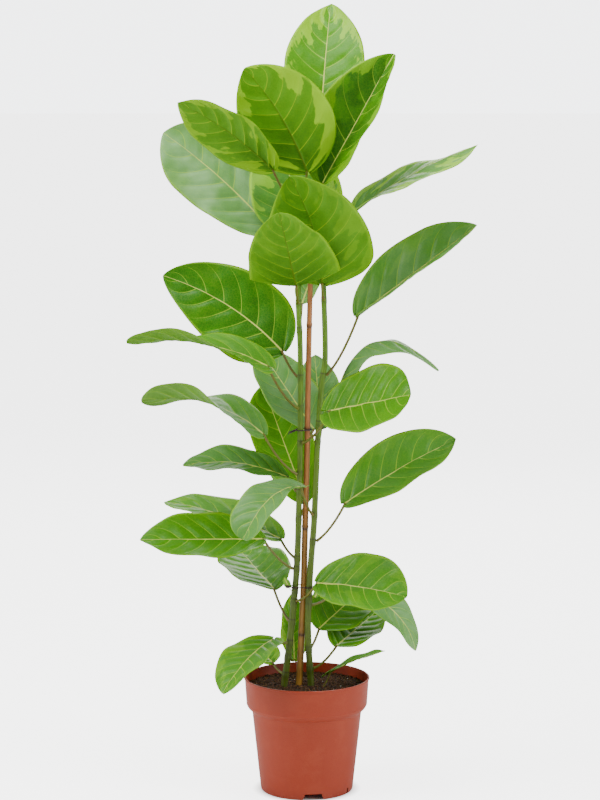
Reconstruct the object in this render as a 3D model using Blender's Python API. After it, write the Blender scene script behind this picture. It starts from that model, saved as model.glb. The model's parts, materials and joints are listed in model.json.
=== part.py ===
"""A council tree fig in a nursery pot: two stems tied to a bamboo cane, with 36 leaves.

Units are metres, +Z is up, and the origin is the middle of the pot's base on the ground.
Heights along the stems, and every leaf's place, are measured from the soil surface.
"""
import math

import bmesh
import bpy
from mathutils import Quaternion, Vector

# Pot
POT_HEIGHT = 0.192
RIM_RADIUS = 0.105
RIM_TAPER = 0.004
BEAD_HEIGHT = 0.003
BEAD_OUT = 0.0012
BAND_HEIGHT = 0.045
SHOULDER_HEIGHT = 0.012
SHOULDER_STEP = 0.0095
BASE_RADIUS = 0.0775
BASE_CORNER = 0.004
POT_WALL = 0.0018
POT_SEGMENTS = 48

# Foot of the pot: a pad in the middle, a raised drain channel round it, and a ring at the edge
PAD_RADIUS = 0.045
CHANNEL_HEIGHT = 0.011
FOOT_RING_WIDTH = 0.006
DRAIN_HOLES = 6
DRAIN_RADIUS = 0.005
NOTCH_ANGLES = (278.0, 98.0)
NOTCH_WIDTH_BOTTOM = 0.035
NOTCH_WIDTH_TOP = 0.028
SLIT_ANGLES = (331.0, 151.0)
SLIT_WIDTH = 0.005

# Soil
SOIL_DROP = 0.016
SOIL_SEGMENTS = 40
SOIL_HUMP = 0.003

# Stems, cane and ties
STEM_RADIUS_FOOT = 0.0056
STEM_RADIUS_TOP = 0.0040
NODE_SWELLING = 1.12
BUD_LENGTH = 0.030
STEM_DEPTH = 0.050
CANE_RADIUS_FOOT = 0.0057
CANE_RADIUS_TOP = 0.0042
CANE_DEPTH = 0.140
CANE_RING = 0.0007
WIRE_RADIUS = 0.0010
STEM_GAP = 0.0006
WIRE_GAP = 0.001
WIRE_START = 250.0
WIRE_STEPS = 40

# Leaves
PETIOLE_RADIUS = 0.0021
BLADE_THICKNESS = 0.0008
MIDRIB_DEPTH = 0.0016
# How thick a blade's margin is, as a share of its middle
MARGIN_SHARE = 0.6
# Blades narrower than this have thinner stalks and blades in the same measure
SLENDER_WIDTH = 0.06
# Points round a stalk's section, the same as round a blade's
SECTION_POINTS = 10

# Kept between touching pieces
CLEARANCE = 0.0003

SOIL_LEVEL = POT_HEIGHT - SOIL_DROP

# Routes from the soil surface upward, as (x, y, height above the soil)
STEM_LEFT_ROUTE = [
    (-0.038, 0.000, 0.000), (-0.028, 0.000, 0.080), (-0.021, 0.000, 0.150), (-0.016, 0.000, 0.215),
    (-0.013, 0.000, 0.315), (-0.011, 0.000, 0.400), (-0.011, 0.000, 0.565), (-0.014, 0.000, 0.650),
    (-0.010, 0.000, 0.730), (-0.005, 0.000, 0.820),
]
STEM_RIGHT_ROUTE = [
    (0.007, 0.000, 0.000), (0.002, -0.003, 0.095), (0.004, -0.004, 0.165), (0.007, -0.004, 0.215),
    (0.012, -0.002, 0.280), (0.018, 0.000, 0.415), (0.025, 0.000, 0.515), (0.030, 0.000, 0.550),
    (0.028, 0.000, 0.650), (0.025, 0.000, 0.765), (0.021, 0.000, 0.900),
]
CANE_ROUTE = [
    (-0.013, 0.005, 0.000), (-0.006, 0.005, 0.150), (-0.003, 0.005, 0.265),
    (0.000, 0.005, 0.385), (0.002, 0.005, 0.515), (0.006, 0.005, 0.700),
]
CANE_NODES = (0.090, 0.270, 0.437, 0.608)


def leaf(stem, height, petiole, blade, width, facing, arch=0.0, sway=0.0, twist=0.0,
         fold=8.0, unfold=0.0, cup=8.0, widest=0.42, point=0.75, lobe=0.03):
    """One leaf.

    stem is left, right or soil, height is where it leaves the stem, and for soil an (x, y) place.
    petiole is the vector along the stalk and blade the one from the blade's base to its tip.
    facing is the heading and elevation of the side that looks up, in degrees, with 90 at +Y.
    arch and sway bow the midrib towards that side and to its left, twist turns the blade about
    the midrib, fold and cup lift the margins and unfold is how much less they lift at the tip,
    widest is where along the blade it is widest, point is the sharpness of the tip (0.5 is round)
    and lobe is how far the base reaches back past the stalk, as a share of the length.
    """
    return dict(stem=stem, height=height, petiole=petiole, blade=blade, width=width, facing=facing,
                arch=arch, sway=sway, twist=twist, fold=fold, unfold=unfold, cup=cup,
                widest=widest, point=point, lobe=lobe)


LEAVES = {
    # Crown
    "leaf_01": leaf("right", 0.885, (0.001, 0.015, 0.066), (0.017, 0.110, 0.180), 0.136, (268, 35),
                    arch=0.010, widest=0.38, point=0.85),
    "leaf_02": leaf("right", 0.790, (0.001, -0.012, 0.053), (0.115, 0.010, 0.208), 0.140, (236, 10),
                    fold=28, cup=20),
    "leaf_03": leaf("left", 0.802, (0.005, -0.040, 0.062), (-0.100, -0.030, 0.165), 0.156, (90, 15),
                    sway=0.010),
    "leaf_04": leaf("left", 0.795, (-0.046, -0.052, 0.072), (-0.150, -0.050, 0.109), 0.098, (95, 45),
                    arch=0.006, sway=0.006, fold=-10, cup=0, widest=0.50),
    "leaf_05": leaf("left", 0.728, (-0.045, 0.060, 0.030), (-0.182, 0.050, 0.160), 0.135, (262, 22),
                    sway=-0.008, widest=0.66),
    "leaf_06": leaf("right", 0.650, (-0.003, -0.020, 0.030), (-0.053, -0.100, 0.180), 0.180, (90, 30),
                    sway=0.012, widest=0.20, point=0.80),
    "leaf_07": leaf("left", 0.645, (-0.003, -0.032, 0.032), (-0.027, -0.150, 0.130), 0.152, (90, 45),
                    widest=0.05, point=0.80, lobe=0.0),
    "leaf_08": leaf("left", 0.735, (-0.002, 0.040, 0.020), (-0.030, 0.050, 0.165), 0.144, (270, 15)),
    "leaf_09": leaf("right", 0.735, (-0.004, 0.085, 0.010), (-0.012, 0.070, 0.145), 0.090, (275, 30)),
    "leaf_10": leaf("left", 0.600, (0.004, 0.035, 0.040), (0.022, 0.060, 0.060), 0.040, (270, 60)),
    # Right side, from the top down
    "leaf_11": leaf("right", 0.738, (0.045, 0.000, 0.055), (0.200, -0.040, 0.112), 0.105, (270, 75),
                    arch=0.010, fold=0, unfold=50, cup=0),
    "leaf_12": leaf("right", 0.524, (0.053, 0.005, 0.100), (0.193, -0.020, 0.150), 0.120, (268, 62),
                    fold=30, unfold=12, cup=6, widest=0.50),
    "leaf_13": leaf("right", 0.445, (0.024, 0.020, 0.043), (0.170, -0.025, 0.045), 0.080, (270, 80),
                    arch=0.074, fold=-20, unfold=-30, cup=0, lobe=0.10),
    "leaf_14": leaf("left", 0.412, (0.046, -0.050, 0.062), (0.128, -0.070, 0.036), 0.134, (275, 42),
                    widest=0.58, point=0.5, lobe=0.14),
    "leaf_15": leaf("right", 0.247, (0.048, 0.000, 0.064), (0.185, 0.030, 0.103), 0.112, (270, 50),
                    arch=0.008, fold=20, cup=6, widest=0.54),
    # Left side, from the top down
    "leaf_16": leaf("left", 0.522, (-0.026, 0.012, 0.042), (-0.198, 0.045, 0.120), 0.142, (262, 22),
                    sway=-0.016, fold=0, cup=6, widest=0.34),
    "leaf_17": leaf("left", 0.470, (-0.050, -0.055, 0.078), (-0.228, -0.020, 0.042), 0.110, (90, 86),
                    arch=0.018, twist=70, lobe=0.06),
    "leaf_18": leaf("left", 0.412, (0.020, 0.034 + CANE_RADIUS_FOOT, 0.016), (-0.096, 0.125, 0.125), 0.095,
                    (272, 50)),
    "leaf_19": leaf("right", 0.415, (0.006, 0.078, 0.010), (-0.011, 0.070, 0.114), 0.080, (270, 45)),
    "leaf_20": leaf("left", 0.285, (0.010, 0.050, 0.020), (-0.072, 0.070, 0.187), 0.105, (272, 25),
                    widest=0.66),
    "leaf_21": leaf("left", 0.360, (-0.055, -0.030, 0.072), (-0.200, 0.000, 0.054), 0.112, (90, 84),
                    arch=0.026, twist=90, widest=0.56),
    "leaf_22": leaf("left", 0.330, (-0.016, 0.014, 0.022), (-0.174, 0.015, 0.016), 0.088, (270, 72),
                    arch=0.016, widest=0.62),
    "leaf_23": leaf("right", 0.292, (-0.020, -0.036, 0.054), (-0.092, -0.110, -0.068), 0.080, (240, 45),
                    arch=0.028, fold=16, widest=0.76, point=0.5, lobe=0.10),
    "leaf_24": leaf("left", 0.218, (-0.024, 0.022, 0.028), (-0.198, 0.080, 0.048), 0.100, (270, 76),
                    arch=0.010),
    "leaf_25": leaf("left", 0.200, (-0.050, -0.006, 0.052), (-0.202, -0.040, 0.006), 0.110, (268, 56),
                    widest=0.50),
    "leaf_26": leaf("left", 0.110, (-0.026, 0.025, 0.050), (-0.062, 0.160, 0.036), 0.118, (270, 72),
                    widest=0.62, point=0.5),
    "leaf_27": leaf("left", 0.075, (-0.024, -0.020, 0.010), (-0.080, -0.120, -0.062), 0.096, (232, 52),
                    arch=0.010, lobe=0.05),
    "leaf_28": leaf("left", 0.020, (-0.018, 0.016, 0.016), (-0.040, 0.070, 0.018), 0.055, (270, 65),
                    lobe=0.08),
    "leaf_29": leaf("left", 0.050, (0.009, 0.035, -0.016), (-0.004, 0.050, 0.105), 0.050, (290, 15)),
    # Low on the right
    "leaf_30": leaf("left", 0.146, (0.034, -0.036, 0.038), (0.146, -0.065, -0.010), 0.118, (272, 44),
                    arch=0.008, fold=18, cup=6, widest=0.60, point=0.6),
    "leaf_31": leaf("right", 0.065, (0.014, 0.020, 0.028), (0.092, 0.100, 0.061), 0.105, (268, 50)),
    "leaf_32": leaf("right", 0.030, (0.039, 0.006, 0.038), (0.075, 0.120, 0.036), 0.086, (268, 58)),
    "leaf_33": leaf("right", 0.138, (0.050, 0.040, 0.026), (0.126, 0.010, -0.116), 0.060, (270, 50),
                    arch=0.045),
    "leaf_34": leaf("soil", (0.027, -0.010), (0.012, 0.004, 0.024), (0.090, -0.050, 0.048), 0.036,
                    (268, 80), arch=0.004, lobe=0.18),
    # Young leaves still opening
    "leaf_35": leaf("right", 0.150, (0.005, -0.004, 0.004), (0.012, -0.004, 0.024), 0.012, (270, 20)),
    "leaf_36": leaf("left", 0.163, (-0.005, -0.004, 0.006), (-0.008, -0.002, 0.018), 0.012, (270, 20)),
}

PETIOLE_STATIONS = (0.0, 0.12, 0.5, 0.88)
BLADE_STATIONS = (0.015, 0.09, 0.22, 0.38, 0.55, 0.72, 0.86, 0.96)


# ---------------------------------------------------------------- helpers

def material(name, colour, roughness, metallic=0.0):
    found = bpy.data.materials.get(name)
    if found:
        return found
    made = bpy.data.materials.new(name)
    made.use_nodes = True
    shader = made.node_tree.nodes["Principled BSDF"]
    shader.inputs["Base Color"].default_value = colour
    shader.inputs["Roughness"].default_value = roughness
    shader.inputs["Metallic"].default_value = metallic
    return made


def new_object(name, mesh, surface):
    piece = bpy.data.objects.new(name, mesh)
    mesh.materials.append(surface)
    bpy.context.scene.collection.objects.link(piece)
    return piece


def ring_mesh(name, rings, start_point=None, end_point=None):
    """A closed solid through rings of the same count, capped by a face or drawn to a point."""
    shape = bmesh.new()
    rows = [[shape.verts.new(p) for p in ring] for ring in rings]
    count = len(rows[0])
    for low, high in zip(rows, rows[1:]):
        for i in range(count):
            j = (i + 1) % count
            shape.faces.new((low[i], low[j], high[j], high[i]))
    for row, point in ((rows[0], start_point), (rows[-1], end_point)):
        if point is None:
            shape.faces.new(row)
            continue
        tip = shape.verts.new(point)
        for i in range(count):
            shape.faces.new((row[i], row[(i + 1) % count], tip))
    bmesh.ops.triangulate(shape, faces=shape.faces)
    bmesh.ops.recalc_face_normals(shape, faces=shape.faces)
    if shape.calc_volume(signed=True) < 0:
        bmesh.ops.reverse_faces(shape, faces=shape.faces)
    mesh = bpy.data.meshes.new(name)
    shape.to_mesh(mesh)
    shape.free()
    mesh.shade_smooth()
    mesh.set_sharp_from_angle(angle=math.radians(50))
    return mesh


def turned_mesh(name, profile, segments, lift=None):
    """A solid turned about Z from a profile that starts and ends on the axis."""
    rings = []
    for radius, z in profile[1:-1]:
        ring = []
        for i in range(segments):
            turn = 2 * math.pi * i / segments
            point = Vector((radius * math.cos(turn), radius * math.sin(turn), z))
            if lift:
                point.z += lift(point)
            ring.append(point)
        rings.append(ring)
    return ring_mesh(name, rings, (0, 0, profile[0][1]), (0, 0, profile[-1][1]))


def tube_rings(points, radii, sides):
    """Rings round a path, turned as little as possible from one to the next."""
    points = [Vector(p) for p in points]
    ahead = (points[1] - points[0]).normalized()
    across = ahead.orthogonal().normalized()
    rings = []
    for i, point in enumerate(points):
        before = points[max(i - 1, 0)]
        after = points[min(i + 1, len(points) - 1)]
        turned = (after - before).normalized()
        across = ahead.rotation_difference(turned) @ across
        ahead = turned
        up = ahead.cross(across)
        ring = []
        for k in range(sides):
            a = 2 * math.pi * k / sides
            ring.append(point + (across * math.cos(a) + up * math.sin(a)) * radii[i])
        rings.append(ring)
    return rings


def smooth_route(route, height):
    """The place on a route at a height, on a smooth curve through its points."""
    if height <= route[0][2]:
        return Vector((route[0][0], route[0][1], height))
    last = len(route) - 1
    k = next((i for i in range(last) if route[i + 1][2] >= height), last - 1)
    a = Vector(route[max(k - 1, 0)])
    b = Vector(route[k])
    c = Vector(route[k + 1])
    d = Vector(route[min(k + 2, last)])
    t = min((height - b.z) / (c.z - b.z), 1.0)
    bend_in = (c - a) / (c.z - a.z) * (c.z - b.z)
    bend_out = (d - b) / (d.z - b.z) * (c.z - b.z)
    h = 2 * t ** 3 - 3 * t ** 2 + 1
    place = b * h + bend_in * (t ** 3 - 2 * t ** 2 + t) + c * (1 - h) + bend_out * (t ** 3 - t ** 2)
    place.z = height
    return place


def difference(piece, cutter):
    cutter.hide_render = True
    cutter.display_type = "WIRE"
    cut = piece.modifiers.new(cutter.name, "BOOLEAN")
    cut.operation = "DIFFERENCE"
    cut.solver = "EXACT"
    cut.object = cutter


# ---------------------------------------------------------------- pot and soil

def wall_inner_profile(gap):
    """The pot's inside from the floor's middle to the lip, moved inward and up by a gap."""
    floor = POT_WALL + gap
    step = CHANNEL_HEIGHT + POT_WALL + gap
    wall = POT_WALL + gap
    band_low = POT_HEIGHT - BAND_HEIGHT
    shoulder_low = band_low - SHOULDER_HEIGHT
    body_top = RIM_RADIUS - RIM_TAPER - SHOULDER_STEP
    taper = (body_top - BASE_RADIUS) / shoulder_low
    return [
        (0.0, floor),
        (PAD_RADIUS - gap, floor),
        (PAD_RADIUS - gap, step),
        (BASE_RADIUS + taper * step - wall, step),
        (body_top - wall, shoulder_low),
        (RIM_RADIUS - RIM_TAPER - wall, band_low + POT_WALL),
        (RIM_RADIUS - BEAD_OUT - wall, POT_HEIGHT),
    ]


def make_pot():
    """Pad, drain channel, foot ring, tapered wall, shoulder, rim band and bead in one moulding."""
    band_low = POT_HEIGHT - BAND_HEIGHT
    shoulder_low = band_low - SHOULDER_HEIGHT
    band_radius = RIM_RADIUS - RIM_TAPER
    body_top = band_radius - SHOULDER_STEP
    bead_low = POT_HEIGHT - BEAD_HEIGHT
    foot_top = CHANNEL_HEIGHT + BASE_CORNER
    foot_share = (foot_top - BASE_CORNER) / (shoulder_low - BASE_CORNER)
    outside = [
        (0.0, 0.0),
        (PAD_RADIUS + POT_WALL, 0.0),
        (PAD_RADIUS + POT_WALL, CHANNEL_HEIGHT),
        (BASE_RADIUS - FOOT_RING_WIDTH, CHANNEL_HEIGHT),
        (BASE_RADIUS - FOOT_RING_WIDTH, 0.0),
        (BASE_RADIUS - BASE_CORNER, 0.0),
        (BASE_RADIUS - BASE_CORNER * 0.3, BASE_CORNER * 0.3),
        (BASE_RADIUS, BASE_CORNER),
        (BASE_RADIUS + (body_top - BASE_RADIUS) * foot_share, foot_top),
        (body_top, shoulder_low),
        (body_top + SHOULDER_STEP * 0.75, band_low - SHOULDER_HEIGHT * 0.45),
        (band_radius, band_low),
        (RIM_RADIUS - BEAD_OUT, bead_low),
        (RIM_RADIUS, bead_low + BEAD_HEIGHT * 0.3),
        (RIM_RADIUS, POT_HEIGHT - BEAD_HEIGHT * 0.2),
        (RIM_RADIUS - BEAD_OUT * 0.5, POT_HEIGHT),
    ]
    inside = list(reversed(wall_inner_profile(0.0)))
    pot = new_object("pot", turned_mesh("pot", outside + inside, POT_SEGMENTS),
                     material("pot_plastic", (0.43, 0.08, 0.035, 1.0), 0.45))
    for number, angle in enumerate(NOTCH_ANGLES):
        difference(pot, foot_cutter(f"notch_{number}", angle, NOTCH_WIDTH_BOTTOM, NOTCH_WIDTH_TOP))
    for number, angle in enumerate(SLIT_ANGLES):
        difference(pot, foot_cutter(f"slit_{number}", angle, SLIT_WIDTH, SLIT_WIDTH))
    channel_middle = (PAD_RADIUS + BASE_RADIUS - FOOT_RING_WIDTH + POT_WALL) / 2
    for number in range(DRAIN_HOLES):
        turn = 2 * math.pi * number / DRAIN_HOLES
        place = (channel_middle * math.cos(turn), channel_middle * math.sin(turn))
        low = CHANNEL_HEIGHT - POT_WALL
        rings = tube_rings([(*place, low), (*place, low + 3 * POT_WALL)], [DRAIN_RADIUS] * 2, 12)
        hole = new_object(f"drain_{number}", ring_mesh(f"drain_{number}", rings), pot.data.materials[0])
        difference(pot, hole)


def foot_cutter(name, angle, width_bottom, width_top):
    """A wedge through the foot ring, as high as the drain channel, with sloping sides."""
    turn = math.radians(angle)
    out = Vector((math.cos(turn), math.sin(turn), 0))
    along = Vector((-out.y, out.x, 0))
    below = 0.002
    flare = (width_bottom - width_top) / CHANNEL_HEIGHT
    rings = []
    for reach in (BASE_RADIUS - FOOT_RING_WIDTH - 0.004, BASE_RADIUS + 0.010):
        low = out * reach - Vector((0, 0, below))
        high = out * reach + Vector((0, 0, CHANNEL_HEIGHT - CLEARANCE))
        half_low = (width_bottom + flare * below) / 2
        half_high = width_top / 2
        rings.append([low - along * half_low, low + along * half_low,
                      high + along * half_high, high - along * half_high])
    return new_object(name, ring_mesh(name, rings), bpy.data.materials["pot_plastic"])


def soil_height(point):
    """The soil's gentle unevenness, which fades out at the pot's wall and at the stems."""
    reach = math.hypot(point.x, point.y) / RIM_RADIUS
    calm = max(0.0, 1.0 - reach ** 4)
    wave = math.sin(point.x * 95 + 1.0) * math.cos(point.y * 80 - 0.6)
    near = min(math.hypot(point.x - x, point.y - y) for x, y in soil_holes())
    away = min(1.0, max(0.0, (near - 0.008) / 0.015))
    return SOIL_HUMP * wave * calm * away


def soil_holes():
    places = [route[0][:2] for route in (STEM_LEFT_ROUTE, STEM_RIGHT_ROUTE, CANE_ROUTE)]
    return places + [entry["height"] for entry in LEAVES.values() if entry["stem"] == "soil"]


def make_soil():
    """Fills the pot from its floor, with a hole where each stem and the cane go in."""
    inside = wall_inner_profile(CLEARANCE)
    wall_low = inside[-2]
    wall_high = inside[-1]
    share = (SOIL_LEVEL - wall_low[1]) / (wall_high[1] - wall_low[1])
    edge = wall_low[0] + (wall_high[0] - wall_low[0]) * share
    rings = [(edge * k / 8, SOIL_LEVEL) for k in range(8, 0, -1)]
    profile = inside[:-1] + rings + [(0.0, SOIL_LEVEL)]

    def lift(point):
        return soil_height(point) if abs(point.z - SOIL_LEVEL) < 1e-6 else 0.0

    soil = new_object("potting_soil", turned_mesh("potting_soil", profile, SOIL_SEGMENTS, lift),
                      material("soil", (0.025, 0.014, 0.008, 1.0), 0.95))
    holes = (("left", STEM_LEFT_ROUTE, STEM_RADIUS_FOOT, STEM_DEPTH),
             ("right", STEM_RIGHT_ROUTE, STEM_RADIUS_FOOT, STEM_DEPTH),
             ("cane", CANE_ROUTE, CANE_RADIUS_FOOT, CANE_DEPTH))
    for name, route, radius, depth in holes:
        x, y = ground_place(route)
        top = SOIL_LEVEL + 3 * SOIL_HUMP
        bottom = SOIL_LEVEL - depth - CLEARANCE
        rings = tube_rings([(x, y, bottom), (x, y, top)], [radius + 2 * CLEARANCE] * 2, 16)
        cutter = new_object(f"hole_{name}", ring_mesh(f"hole_{name}", rings), soil.data.materials[0])
        difference(soil, cutter)


# ---------------------------------------------------------------- stems, cane and ties

def cane_place(height):
    return smooth_route(CANE_ROUTE, height)


def cane_radius(height):
    share = min(max(height / CANE_ROUTE[-1][2], 0.0), 1.0)
    return CANE_RADIUS_FOOT + (CANE_RADIUS_TOP - CANE_RADIUS_FOOT) * share


def stem_radius(route, height):
    share = min(max(height / route[-1][2], 0.0), 1.0)
    return STEM_RADIUS_FOOT + (STEM_RADIUS_TOP - STEM_RADIUS_FOOT) * share


def stem_place(route, height):
    """The stem's middle at a height, kept clear of the cane."""
    place = smooth_route(route, height)
    cane = cane_place(height)
    if height > CANE_ROUTE[-1][2] + 0.02:
        return place
    apart = place - cane
    needed = stem_radius(route, height) * NODE_SWELLING + cane_radius(height) + CANE_RING + STEM_GAP
    if apart.length < needed:
        place = cane + apart.normalized() * needed
    return place


def ground_place(route):
    if route is CANE_ROUTE:
        return cane_place(0.0).xy
    return stem_place(route, 0.0).xy


def leaf_heights(stem):
    return sorted(entry["height"] for entry in LEAVES.values() if entry["stem"] == stem)


def make_stem(name, route, stem):
    """A tapering stem, a little thicker at each leaf's node, drawn to a bud at its tip."""
    top = route[-1][2]
    foot = ground_place(route)
    heights = set()
    for node in leaf_heights(stem):
        heights.update((node - 0.008, node - 0.002, node + 0.004))
    steps = 26
    for k in range(1, steps + 1):
        height = top * k / steps
        if all(abs(height - taken) > 0.009 for taken in heights):
            heights.add(height)
    heights = [h for h in sorted(heights) if 0.004 < h <= top]
    points = [Vector((foot.x, foot.y, -STEM_DEPTH)), Vector((foot.x, foot.y, 0.0))]
    radii = [STEM_RADIUS_FOOT * 0.9, STEM_RADIUS_FOOT]
    for height in heights:
        swell = any(abs(height - node + 0.002) < 1e-6 for node in leaf_heights(stem))
        points.append(stem_place(route, height))
        radii.append(stem_radius(route, height) * (NODE_SWELLING if swell else 1.0))
    lean = (points[-1] - points[-2]).normalized()
    for share, width in ((0.35, 0.85), (0.75, 0.4)):
        points.append(stem_place(route, top) + lean * BUD_LENGTH * share)
        radii.append(STEM_RADIUS_TOP * width)
    lift = Vector((0, 0, SOIL_LEVEL))
    rings = tube_rings([p + lift for p in points], radii, 10)
    tip = stem_place(route, top) + lean * BUD_LENGTH + lift
    return new_object(name, ring_mesh(name, rings, None, tip),
                      material("stem_bark", (0.09, 0.13, 0.01, 1.0), 0.55))


def make_cane():
    """A bamboo cane with a low ring at each of its nodes."""
    top = CANE_ROUTE[-1][2]
    marks = [-CANE_DEPTH, 0.0]
    for node in CANE_NODES:
        marks += [node - 0.004, node, node + 0.004]
    marks += [0.045, 0.180, 0.225, 0.330, 0.380, 0.490, 0.550, 0.655, top]
    marks.sort()
    points = [cane_place(h) + Vector((0, 0, SOIL_LEVEL)) for h in marks]
    radii = [cane_radius(h) + (CANE_RING if h in CANE_NODES else 0.0) for h in marks]
    return new_object("bamboo_cane", ring_mesh("bamboo_cane", tube_rings(points, radii, 10)),
                      material("bamboo", (0.42, 0.24, 0.07, 1.0), 0.5))


def tie_route(height, held):
    """A wire's turn round the held pieces: a stretched loop that keeps clear of each of them."""
    rise = 3.2 * WIRE_RADIUS
    circles = []
    for route, radius in held:
        place = cane_place(height) if route is CANE_ROUTE else stem_place(route, height)
        circles.append((place.xy, radius + WIRE_RADIUS + WIRE_GAP))
    middle = sum((place for place, _ in circles), Vector((0, 0))) / len(circles)
    points = []
    for k in range(WIRE_STEPS + 1):
        turn = math.radians(WIRE_START) + 2 * math.pi * k / WIRE_STEPS
        way = Vector((math.cos(turn), math.sin(turn)))
        reach = max((place - middle).dot(way) + radius for place, radius in circles)
        points.append((way, reach))
    route = []
    for k, (way, reach) in enumerate(points):
        before = points[(k - 1) % WIRE_STEPS][1]
        after = points[(k + 1) % WIRE_STEPS][1]
        slope = (after - before) / (4 * math.pi / WIRE_STEPS)
        spot = middle + way * reach + Vector((-way.y, way.x)) * slope
        route.append(Vector((spot.x, spot.y, height + rise * (k / WIRE_STEPS - 0.5))))
    return route


def make_tie(name, height, held, ends):
    """Wire once round the held pieces, its two ends sticking out from the crossing."""
    loop = tie_route(height, held)
    first = loop[0] + Vector(ends[0])
    last = loop[-1] + Vector(ends[1])
    points = [first, first.lerp(loop[0], 0.6)] + loop + [loop[-1].lerp(last, 0.4), last]
    points = [p + Vector((0, 0, SOIL_LEVEL)) for p in points]
    rings = tube_rings(points, [WIRE_RADIUS] * len(points), 6)
    return new_object(name, ring_mesh(name, rings), material("tie_wire", (0.02, 0.008, 0.012, 1.0), 0.5))


# ---------------------------------------------------------------- leaves

def direction(heading, elevation):
    h = math.radians(heading)
    e = math.radians(elevation)
    return Vector((math.cos(h) * math.cos(e), math.sin(h) * math.cos(e), math.sin(e)))


def outline(s, widest, point):
    """The blade's half width at s, from 0 at the base to 1 at the tip, as a share of the widest."""
    if s < widest:
        return (1 - ((widest - s) / widest) ** 2.4) ** 0.58
    return max(0.0, 1 - ((s - widest) / (1 - widest)) ** 2) ** point


def leaf_start(entry):
    """Where the stalk leaves the stem's surface, and the way out from there."""
    stalk = Vector(entry["petiole"])
    if entry["stem"] == "soil":
        x, y = entry["height"]
        return Vector((x, y, SOIL_LEVEL + SOIL_HUMP * 0.1 + CLEARANCE)), Vector((0, 0, 1))
    route = STEM_LEFT_ROUTE if entry["stem"] == "left" else STEM_RIGHT_ROUTE
    height = entry["height"]
    out = Vector((stalk.x, stalk.y, 0)).normalized()
    reach = stem_radius(route, height) * NODE_SWELLING + CLEARANCE
    return stem_place(route, height) + out * reach + Vector((0, 0, SOIL_LEVEL)), out


def blade_frame(entry, s):
    """The midrib's place at s, with the blade's left and its upper side there."""
    start, _ = leaf_start(entry)
    base = start + Vector(entry["petiole"])
    chord = Vector(entry["blade"])
    along = chord.normalized()
    up = direction(*entry["facing"])
    up = (up - along * up.dot(along)).normalized()
    left = up.cross(along)
    bow = up * entry["arch"] + left * entry["sway"]
    place = base + chord * s + bow * 4 * s * (1 - s)
    ahead = (chord + bow * 4 * (1 - 2 * s)).normalized()
    turn = Quaternion(ahead, math.radians(entry["twist"]) * (s - 0.5))
    up = turn @ (up - ahead * up.dot(ahead)).normalized()
    return place, up.cross(ahead), up


def blade_point(entry, s, v):
    """A point of the blade's middle surface: v is -1 at its right margin and 1 at its left."""
    back = entry["lobe"] * abs(v) * (1 - s) ** 4
    place, left, up = blade_frame(entry, s - back)
    half = entry["width"] / 2 * outline(s, entry["widest"], entry["point"])
    tilt = math.radians(entry["fold"] - entry["unfold"] * (s - 0.5) + entry["cup"] * abs(v) / 2)
    return place + left * half * v * math.cos(tilt) + up * half * abs(v) * math.sin(tilt)


def make_leaf(name, entry):
    """Stalk and blade in one: round rings that flatten into the blade's section."""
    start, out = leaf_start(entry)
    stalk = Vector(entry["petiole"])
    base, left, up = blade_frame(entry, 0.0)
    sag = Vector((0, 0, -0.10 * stalk.length))
    thin = min(1.0, entry["width"] / SLENDER_WIDTH)
    rings = []
    for s in PETIOLE_STATIONS:
        place = start + stalk * s + sag * 4 * s * (1 - s)
        ahead = (stalk + sag * 4 * (1 - 2 * s)).normalized()
        if s == 0.0:
            ahead = out
        side = (left - ahead * left.dot(ahead)).normalized()
        top = ahead.cross(side)
        radius = PETIOLE_RADIUS * thin * (1.25 if s < 0.1 else 1.0)
        ring = []
        for k in range(SECTION_POINTS):
            a = math.pi + 2 * math.pi * (k - 0.5) / SECTION_POINTS
            ring.append(place + side * math.cos(a) * radius + top * -math.sin(a) * radius)
        rings.append(ring)
    half_thick = BLADE_THICKNESS * thin / 2
    edge = half_thick * MARGIN_SHARE
    for s in BLADE_STATIONS:
        place, left, up = blade_frame(entry, s)
        ridge = half_thick + MIDRIB_DEPTH * thin * (1 - s)
        over = [blade_point(entry, s, v) for v in (-1.0, -0.5, 0.0, 0.5, 1.0)]
        ring = [over[0] - up * edge, over[0] + up * edge,
                over[1] + up * half_thick, over[2] + up * half_thick, over[3] + up * half_thick,
                over[4] + up * edge, over[4] - up * edge,
                over[3] - up * half_thick, over[2] - up * ridge, over[1] - up * half_thick]
        rings.append(ring)
    tip, _, _ = blade_frame(entry, 1.0)
    return new_object(name, ring_mesh(name, rings, None, tip),
                      material("leaf", (0.12, 0.26, 0.03, 1.0), 0.4))


# ---------------------------------------------------------------- build

def main():
    for old in list(bpy.data.objects):
        bpy.data.objects.remove(old, do_unlink=True)
    make_pot()
    make_soil()
    make_stem("stem_left", STEM_LEFT_ROUTE, "left")
    make_stem("stem_right", STEM_RIGHT_ROUTE, "right")
    make_cane()
    make_tie("tie_upper", 0.434,
             [(STEM_LEFT_ROUTE, stem_radius(STEM_LEFT_ROUTE, 0.434)), (CANE_ROUTE, cane_radius(0.434))],
             ((-0.010, -0.006, -0.003), (0.006, -0.008, 0.004)))
    make_tie("tie_lower", 0.170,
             [(STEM_LEFT_ROUTE, stem_radius(STEM_LEFT_ROUTE, 0.170)), (CANE_ROUTE, cane_radius(0.170)),
              (STEM_RIGHT_ROUTE, stem_radius(STEM_RIGHT_ROUTE, 0.170))],
             ((-0.010, -0.006, 0.004), (0.010, -0.006, 0.004)))
    for name, entry in LEAVES.items():
        make_leaf(name, entry)


main()
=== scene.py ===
# %% [markdown]
# # A council tree fig in a nursery pot
# The plant stands in a terracotta-coloured plastic pot: two green stems and a bamboo cane, held
# together by two turns of wire, and thirty-six leathery leaves. The CAD frame gives the true size
# and place of every piece, so each piece here is built on the frame and then ridden on its body.

# %% The frame and its box
import json
import math

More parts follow.
